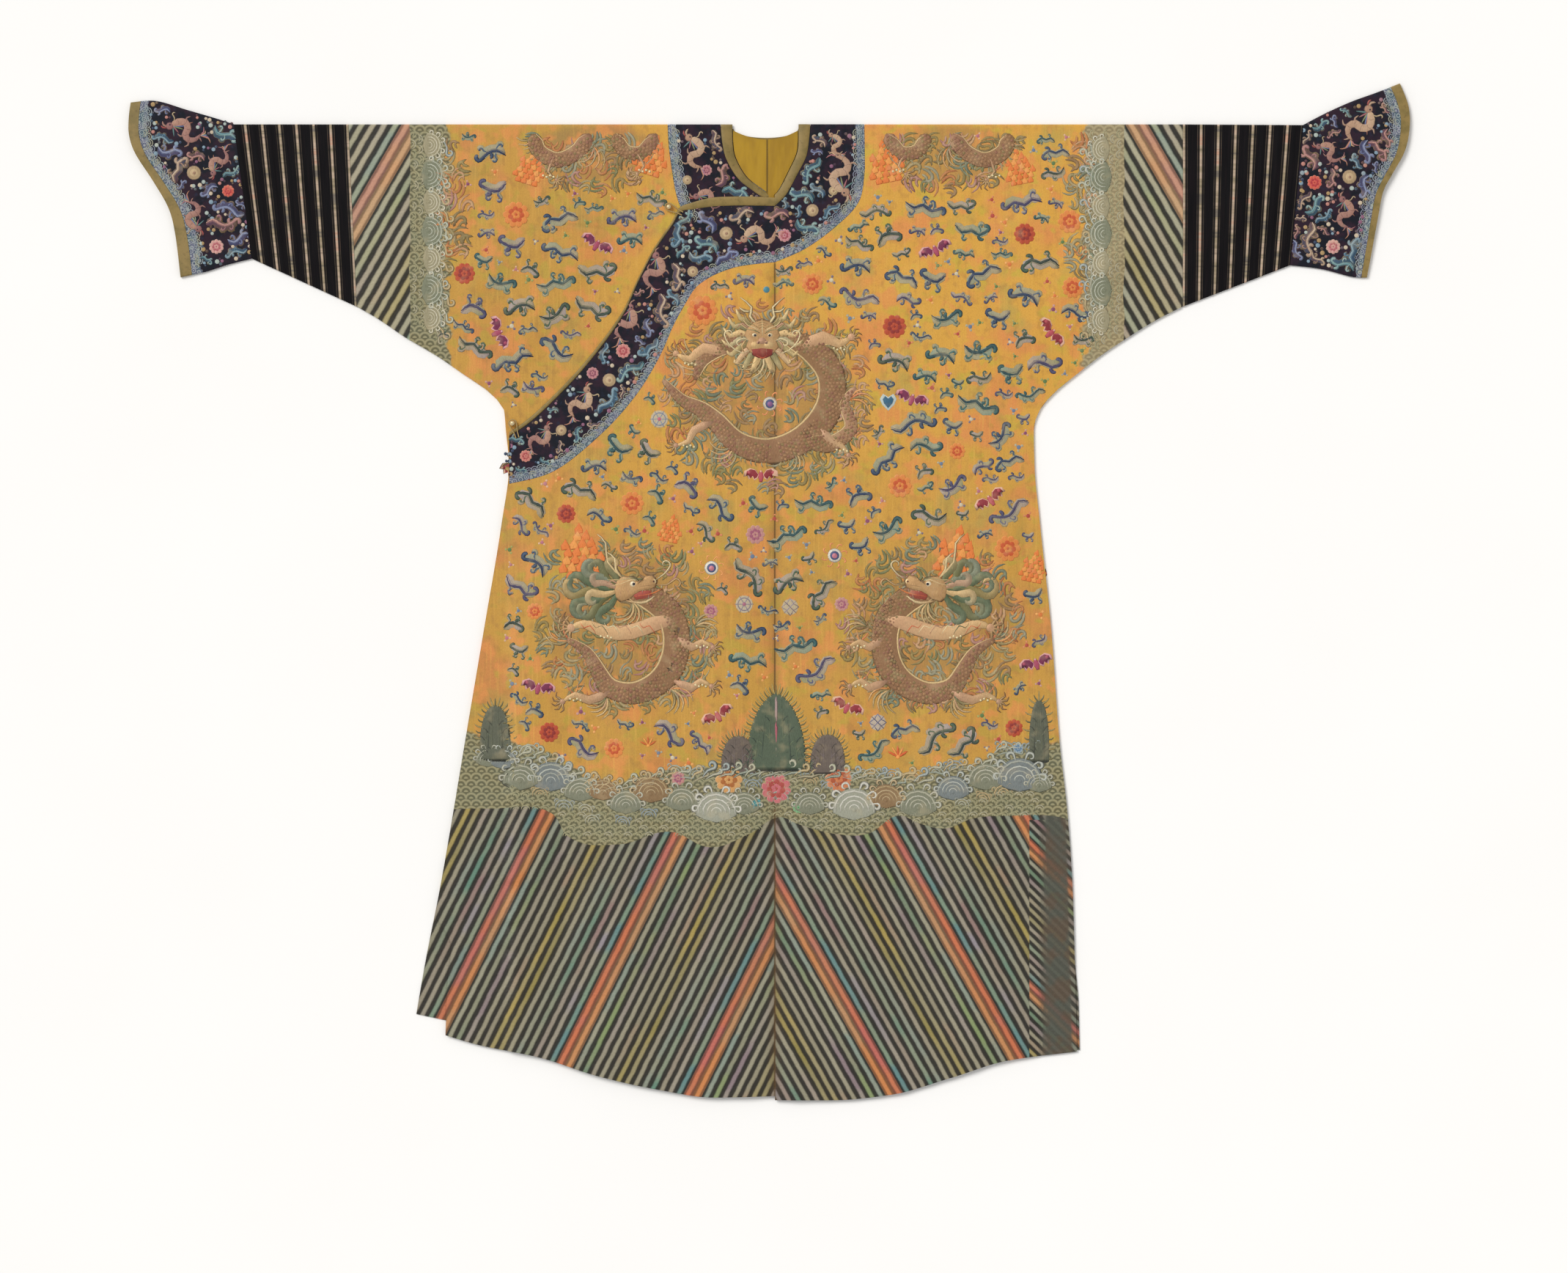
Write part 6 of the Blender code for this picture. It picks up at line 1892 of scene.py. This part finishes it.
print("clouds", throwClouds(2500, (1.0, 1.15), 0.02, 1), throwClouds(12000, (0.74, 0.9), 0.04, 0),
      throwClouds(12000, (0.5, 0.62), 0.06, 0))

# small red, pink, green and white buds in what room is left
budSpots = [(5 * math.cos(2.1 * k), 5 * math.sin(2.1 * k)) for k in range(3)]
budKinds = [sky.shape(bud(core, edge, 3.6, 2.3, budSpots)) for core, edge in (
    ("b0483a", "d68a5c"), ("b8707c", "d8b090"), ("5f7a48", "a9a45c"), ("cfc4a8", "7a6a78"),
    ("d87a3c", "e8a860"), ("6a7a94", "b0a88c"), ("8a4a68", "c99a8c"))]
for _ in range(9000):
    x, drop = draw.uniform(-470, 450), draw.uniform(12, 920)
    points = [(x + 6, drop), (x - 6, drop), (x, drop + 6), (x, drop - 6), (x, drop)]
    if (onFront(points, 4) and not room.share(points) and drop < between(waterTop, x) - 6
            and (drop > 300 or abs(x) < 445)):
        kind = budKinds[draw.randrange(len(budKinds))]
        sky.put(kind, x, drop, draw.uniform(0, fullTurn), draw.uniform(0.7, 1.1))
        room.fill(points, 1)

# foam heads, and ripples where there is room between them
foam = Spread("foamWork", frontCloth, "floss")
foamDyes = {
    "pale": ("b4b29c", "7d7f6a", "55563f", "c2c0ae"), "blue": ("a9aca0", "767d7c", "4f564f", "c0c3b8"),
    "warm": ("b39a70", "8a6e4c", "5f4c30", "c6b088"), "white": ("cfccbe", "9c9d8c", "64655a", "d8d5c8"),
}
foamRoom = Room()
heads = [
    (-412, 912, 0.7, "pale"), (-390, 914, 0.75, "blue"), (-366, 940, 1.0, "pale"), (-322, 940, 1.1, "blue"),
    (-280, 958, 0.9, "pale"), (-247, 958, 0.8, "warm"), (-214, 976, 0.9, "pale"), (-178, 958, 1.0, "warm"),
    (-134, 972, 0.9, "pale"), (-84, 984, 1.15, "white"), (-44, 978, 0.85, "pale"), (50, 978, 0.85, "pale"),
    (114, 980, 1.2, "white"), (160, 968, 0.9, "warm"), (206, 978, 1.05, "pale"), (256, 956, 0.9, "blue"),
    (303, 940, 1.0, "pale"), (352, 938, 1.25, "blue"), (380, 948, 0.72, "pale"),
]
for k, (x, drop, size, name) in enumerate(sorted(heads, key=lambda row: row[1])):
    motif = dome(*foamDyes[name])
    foam.put(foam.shape(motif), x, drop, 0, size, 0.04 + 0.05 * (k % 4))
    foamRoom.fill(moved(motif, x, drop, 0, size), 0)
    room.fill(moved(motif, x, drop, 0, size), 0)
shells = [shell(*dyes) for dyes in
          (("b5b4a0", "5f6048"), ("a4a89c", "5c6258"), ("c0aa7e", "6c5838"), ("9aa4a4", "545e62"))]
shellKinds = [foam.shape(one) for one in shells]
for _ in range(5000):
    x, size, k = draw.uniform(-462, 432), draw.uniform(0.75, 1.15), draw.randrange(4)
    drop = between(waterTop, x) + draw.uniform(4, 66)
    points = moved(shells[k], x, drop, 0, size)
    if drop < between(stripeTop, x) - 18 and onFront(points, 3) and foamRoom.share(points) < 0.12:
        foam.put(shellKinds[k], x, drop, draw.uniform(-0.25, 0.25), size, 0.02)
        foamRoom.fill(points, 0)
        room.fill(points, 0)
for x, drop, turn, size, dyes in (
        (2, 955, 0.2, 1.25, ("a8483f", "c0686c", "ccb3a0")), (-139, 940, 0, 0.6, flowerDyes["pink"]),
        (-66, 942, 0, 1.15, ("a8642c", "cf9a5c", "dccbaa")),
        (92, 940, 0, 1.15, ("a8502c", "c8784a", "dcc8ae")),
        (-28, 976, 0, 0.5, ("2f7a80", "57989a", "b0c0a8")), (34, 982, 0, 0.5, ("4f8a5c", "7aa878", "b9c0a0")),
        (350, 897, 0, 0.45, ("5c7c98", "8a9ca8", "c0c4b8"))):
    placeOne(foam, flower(*dyes), x, drop, turn, size, 0)
rippleKinds = [foam.shape(ripple(*dyes)) for dyes in (("b0ac86", "565336"), ("a4a380", "4e4e33"),
                                                     ("b9b49a", "5f5c44"))]
curlKinds = [foam.shape(swirl(*dyes)) for dyes in
             (("c2c0a8", "6d6e54", "a3aa9c"), ("adb4ae", "626c66", "c2bda4"), ("c6b186", "7d683f", "b3ad92"))]
for row, drop in enumerate(np.arange(870, 1050, waterScale["gap"])):
    for x in np.arange(-462 + waterScale["pitch"] / 2 * (row % 2), 440, waterScale["pitch"]):
        x = x + draw.uniform(-0.8, 0.8)
        at = [(x, drop - 3), (x - 4, drop), (x + 4, drop)]
        if (between(waterTop, x) + 8 < drop < between(stripeTop, x) + 2 and onFront(at, 3)
                and room.share(at) < 0.4):
            foam.put(draw.choice(rippleKinds), x, drop, draw.uniform(-0.12, 0.12))
for x in np.arange(-450, 432, 19):
    drop = between(waterTop, x) + draw.uniform(0, 9)
    if onFront([(x - 22, drop), (x + 22, drop)], 6):
        kind, turn, size = draw.choice(curlKinds), draw.uniform(-0.3, 0.3), draw.uniform(1.0, 1.3)
        foam.put(kind, x, drop, turn, size, 0.45 * (abs(x) < 90) + 0.1)
for sign, inner, outer in ((1, 450, 500), (-1, 474, 523)):
    for column, across in enumerate(np.arange(inner + 8, outer, waterScale["gap"])):
        for drop in np.arange(14 + waterScale["pitch"] / 2 * (column % 2), 330, waterScale["pitch"]):
            x = sign * (across + 2 * math.sin(drop / 17))
            if onFront([(x, drop + 3), (x, drop - 3)], 4):
                foam.put(draw.choice(rippleKinds), x, drop, -sign * math.pi / 2)
    for drop in np.arange(16, 345, 24):
        x = sign * (inner + draw.uniform(-4, 4))
        if onFront([(x, drop + 14), (x, drop - 14)], 3):
            kind = draw.choice(curlKinds)
            foam.put(kind, x, drop, -sign * math.pi / 2 + draw.uniform(-0.3, 0.3), 1.15, 0.1)
sleeveDomes = [foam.shape(dome(*dyes)) for dyes in
               (("d0c9ac", "9a9274", "57533a", "dfd8c0"), ("b3b6a2", "7c7f68", "4f523a", "c8cab8"))]
for sign, inner, drops in ((1, 470, (36, 76, 118, 158, 200, 240, 282)),
                           (-1, 494, (30, 72, 112, 154, 194, 238, 278))):
    for k, drop in enumerate(drops):
        foam.put(sleeveDomes[k % 2], sign * inner, drop, -sign * math.pi / 2, (0.7, 0.85)[k % 2], 0.06)
for spread in (crowd, sky, goldWork, floss, foam):
    spread.lay()
bpy.data.objects.remove(frontCloth)


# collar and cuffs: small clouds, curled dragons, pearls and flowers on the dark bands
trimPieces = [collarPieces[name] for name in ("collarLeft", "collarRight", "flapBand")] + cuffPieces[::2]
trimCloth = clothUnder("trimCloth", trimPieces)
trim = Spread("trimFloss", trimCloth, "floss")
border = 13                               # width of the waves along the outer edge
bandRoom, openBand = Room(2.5), Room(2.5)
outerEdges = []                           # outer edge of each band, with the way in from it
for rows, start in ((collarLeft, 14), (collarRight, 14), (flap, 0)):
    plan = bandPlan(refined(rows, 14), 60)
    plan = plan[plan[:, :, 1].min(1) > 1] if start else plan
    far = np.linalg.norm(plan - plan[:, :1], axis=-1)
    inside = (far > border) & (far < far[:, -1:] - 4) & (plan[..., 1] > start * 0.7)
    openBand.fill(plan[inside], 1)
    outerEdges.append((plan[:, 0], (plan[:, -1] - plan[:, 0]) / far[:, -1:]))
for side, sign in (("left", 1), ("right", -1)):
    s, w = np.meshgrid(np.linspace(0.03, 1, 90), np.linspace(0.035, 0.965, 120), indexing="ij")
    plan = cuffPlan(side, s, w) * [sign, 1]
    long = np.linalg.norm(plan[-1] - plan[0], axis=-1)[None]
    openBand.fill(plan[(1 - s) * long > cuff["binding"] + border + 2], 1)
    at = 1 - (cuff["binding"] + 1) / long[0]
    edge = cuffPlan(side, at, w[0]) * [sign, 1]
    inward = cuffPlan(side, at - 0.1, w[0]) * [sign, 1] - edge
    outerEdges.append((edge, inward / np.linalg.norm(inward, axis=1, keepdims=True)))

curlHair = [("5f8f8a", "b9787a"), ("b06a70", "d9b48a"), ("8a9a6a", "6a8fa0"), ("6a7fa8", "8a6a90"),
            ("c9876a", "c98f6a")]         # at its head, at its tail


def curlDragon(pale, shade, deep):
    made = Motif()
    for k, (head, tail) in enumerate(curlHair):
        for path, colour in (([(-22, 8), (-16 + 2 * k, 15 - 5 * k), (-11 + 3 * k, 21 - 9 * k)], head),
                             ([(22, -4), (24 + 3 * k, -12 + k), (19 + 6 * k, -19 + 4 * k)], tail)):
            made.stroke(path, 4.4, colour, deep, level=0.02 * k, taper=(0.3, 0.9))
    for x, y, a in ((-9, -10, -1.9), (1, 10, 2.3), (13, 14, 1.2), (19, 2, -0.4)):
        claw = ray(x, y, a, ((0, 0), (6, 0), (11, 0.5)))
        made.stroke(claw, 5.4, shade, deep, pale, level=0.05, taper=(0.3, 0.9))
    path = [(-25, 9), (-19, -2), (-9, -8), (0, -2), (2, 8), (11, 12), (20, 5), (22, -6)]
    line, way, half = made.stroke(path, 12.5, pale, deep, shade, 0.45, taper=(0.1, 0.4))
    for at, on, wide in zip(line[2::2], way[2::2], half[2::2]):      # bars of scales across the body
        out = np.array([-on[1], on[0]]) * wide * 0.7
        bar = [at + out, at + on * 1.5, at - out]
        made.stroke(bar, 1.9, deep, shade, level=0.34, taper=(0.2, 0.2), steps=1)
    made.disc(-26, 11, 7, shade, deep, high=0.5, level=0.1)
    made.stroke([(-28, 14), (-35, 15), (-40, 11)], 5.4, pale, deep, high=0.4, level=0.15)
    made.stroke([(-28, 16), (-34, 19), (-38, 18)], 3.6, "b5524a", deep, high=0.4, level=0.12)
    made.disc(-27, 9, 1.8, "iris", sides=6, level=0.55)
    made.stroke(hook([(-24, 4), (-27, -4), (-33, -7)], 3.4, 1, 3), 3, "c9b48a", deep, high=0.4, level=0.3)
    return made


def ball(rim, core, heart):               # a round fruit or pearl
    made = Motif()
    made.disc(0, 0, 12, rim, "5c4a52", sides=14, insets=(0.86,))
    made.disc(0, 0, 7.6, core, rim, sides=12, level=0.12, insets=(0.8,))
    made.disc(0.6, 0.4, 3.2, heart, core, sides=8, level=0.3)
    return made


def placeTrim(motif, x, drop, turn=0.0, size=1.0):
    trim.put(trim.shape(motif), x, drop, turn, size, 0.1)
    bandRoom.fill(moved(motif, x, drop, turn, size), 1)


def trimSpot(onCollar):                   # a place on the collar, or on one of the cuffs
    if draw.random() < onCollar:
        return draw.uniform(-390, 135), draw.uniform(5, 515)
    return draw.choice((-1, 1)) * draw.uniform(745, 905), draw.uniform(-50, 215)


trimDragons = {"pale": curlDragon("c2a486", "a8826a", "4f3640"),
               "rose": curlDragon("b08672", "90625f", "44293a")}
for name, x, drop, turn, size in (
        ("rose", -172, 214, 2.0, 0.9), ("rose", -214, 288, 2.2, 0.9), ("pale", -279, 404, 2.35, 0.85),
        ("pale", -20, 158, 0.1, 0.9), ("pale", 92, 70, -1.5, 1.05), ("pale", -112, 42, 1.5, 0.9),
        ("rose", -92, 106, 0.5, 0.75), ("rose", -338, 455, 2.5, 0.75), ("pale", 90, 30, 1.4, 0.6),
        ("rose", -845, 8, 0.6, 0.9), ("rose", -800, 52, -0.8, 0.7), ("pale", 842, 4, 2.4, 1.0),
        ("rose", 800, 40, 0.8, 0.7), ("rose", 822, 130, 1.7, 0.8), ("rose", -838, 130, -1.6, 0.8)):
    placeTrim(trimDragons[name], x, drop, turn, size)
tanPearl = ball("a88f6c", "c0a680", "9a7860")
for x, drop, size in ((54, 124, 0.8), (-70, 157, 0.85), (-238, 368, 0.85), (-118, 212, 0.7), (-835, 70, 0.9),
                      (826, 76, 0.9), (-307, 440, 0.7), (84, 96, 0.6), (-126, 80, 0.6)):
    placeTrim(tanPearl, x, drop, 0, size)
for x, drop, size, dyes in (
        (-218, 326, 0.6, ("a84a4f", "c9807a", "d8b9a0")), (-262, 358, 0.5, ("8a4a5c", "b87a80", "d0b0a0")),
        (-358, 477, 0.5, ("a8484a", "c87a70", "d8b090")), (14, 160, 0.55, ("a04a58", "c08088", "d0b0a0")),
        (-803, 176, 0.6, ("b06068", "cf9a92", "dcc4ae")), (803, 176, 0.6, ("b06068", "cf9a92", "dcc4ae")),
        (776, 84, 0.6, ("b0343a", "cf5a4a", "d8a088")), (-786, 96, 0.5, ("b0343a", "cf5a4a", "d8a088")),
        (-98, 66, 0.45, ("8a4a5c", "b87a80", "d0b0a0"))):
    placeTrim(flower(*dyes), x, drop, 0.3, size)
trimDyes = [("8fa6ac", "44708c", "24405c", "37586a"), ("5f8c94", "a3b5aa", "1f4452", "3a526c"),
            ("8f97b0", "5a6690", "2f365c", "4c4462"), ("bd8f80", "8f5f6c", "54344a", "5c4436"),
            ("c4ae94", "96705c", "4f3440", "3c4054")]
trimClouds = [cloud(shape, dyes) for dyes in trimDyes for shape in cloudShapes[::2]]
trimKinds = [trim.shape(one) for one in trimClouds]
for smallest, largest in ((0.72, 0.85), (0.5, 0.6), (0.34, 0.4)):
    for _ in range(9000):
        x, drop = trimSpot(0.5)
        k, turn = draw.randrange(len(trimClouds)), draw.uniform(0, fullTurn)
        size = draw.uniform(smallest, largest)
        points = moved(trimClouds[k], x, drop, turn, size)
        if openBand.share(points) > 0.96 and bandRoom.share(points) < 0.05:
            trim.put(trimKinds[k], x, drop, turn, size, 0.1)
            bandRoom.fill(points, 0)
speckKinds = [trim.shape(bud(core, edge, 3.4, 2.2, [(4.4, 2.6)])) for core, edge in (
    ("c9b9a0", "5c4a58"), ("a9b5ae", "34485c"), ("b98074", "4c2c38"), ("7f98a8", "2c3c5c"),
    ("a88a5c", "4c3a34"), ("8a5a74", "3a2438"))]
for _ in range(9000):                     # small buds and sparks between them
    x, drop = trimSpot(0.6)
    points = [(x, drop), (x + 3, drop), (x - 3, drop), (x, drop + 3), (x, drop - 3)]
    if openBand.share(points) > 0.99 and bandRoom.share(points) < 0.01:
        kind = draw.choice(speckKinds)
        trim.put(kind, x, drop, draw.uniform(0, fullTurn), draw.uniform(0.7, 1.2), 0.05)
        bandRoom.fill(points, 0)
waveKinds = [trim.shape(ripple(*dyes)) for dyes in
             (("a3acaa", "4d5c70"), ("8e94a2", "484e66"), ("a9a893", "5f6a60"))]
for edge, inward in outerEdges:           # two rows of small waves along each outer edge
    long = np.concatenate([[0], np.cumsum(np.linalg.norm(np.diff(edge, axis=0), axis=1))])
    for row in range(2):
        for at in np.arange(6 + 4.5 * row, long[-1] - 6, 9):
            x, drop, ix, iy = (np.interp(at, long, line) for line in (*edge.T, *inward.T))
            away, turn = 5 + 6 * row, math.atan2(iy, ix) + math.pi / 2
            trim.put(draw.choice(waveKinds), x + ix * away, drop + iy * away, turn, 0.85, 0.05)
trim.lay()
bpy.data.objects.remove(trimCloth)


# floor, light and camera
studio = {"floor": "f4f3f1", "grain": "f7f6f5", "half": 14.0, "under": -0.0004, "sky": 0.62,
          "skyTint": (1.0, 0.995, 0.985, 1), "key": 2.1, "keyAngle": 28, "keyTint": (1.0, 0.985, 0.96),
          "keyFrom": (-0.75, 0.65, 1.0), "camera": 6.268, "lens": 100, "sensor": 36,
          "aim": (0.02137, -0.06439)}


def addFloor():
    mesh = bpy.data.meshes.new("floor")
    half, under = studio["half"], studio["under"]
    corners = [(x * half, y * half, under) for x, y in ((-1, -1), (1, -1), (1, 1), (-1, 1))]
    mesh.from_pydata(corners, [], [(0, 1, 2, 3)])
    f = Finish("floorPaper", roughness=0.9)
    f.colour(f.mix(f.noise(f.spot(), 3.0, 2.0), dye(studio["floor"]), dye(studio["grain"])))
    mesh.materials.append(f.material)
    linked("floor", mesh)


def addLight():
    room = bpy.data.worlds.new("studio")
    room.use_nodes = True
    back = room.node_tree.nodes["Background"]
    back.inputs["Color"].default_value = studio["skyTint"]
    back.inputs["Strength"].default_value = studio["sky"]
    scene.world = room
    key = bpy.data.lights.new("key", "SUN")
    key.energy = studio["key"]
    key.angle = math.radians(studio["keyAngle"])
    key.color = studio["keyTint"]
    linked("key", key).rotation_euler = Vector(studio["keyFrom"]).to_track_quat("Z", "Y").to_euler()


def addCamera():
    camera = bpy.data.cameras.new("camera")
    camera.lens = studio["lens"]
    camera.sensor_width = studio["sensor"]
    scene.camera = linked("camera", camera)
    scene.camera.location = (*studio["aim"], studio["camera"])
    scene.view_settings.view_transform = "Standard"


addFloor()
addLight()
addCamera()
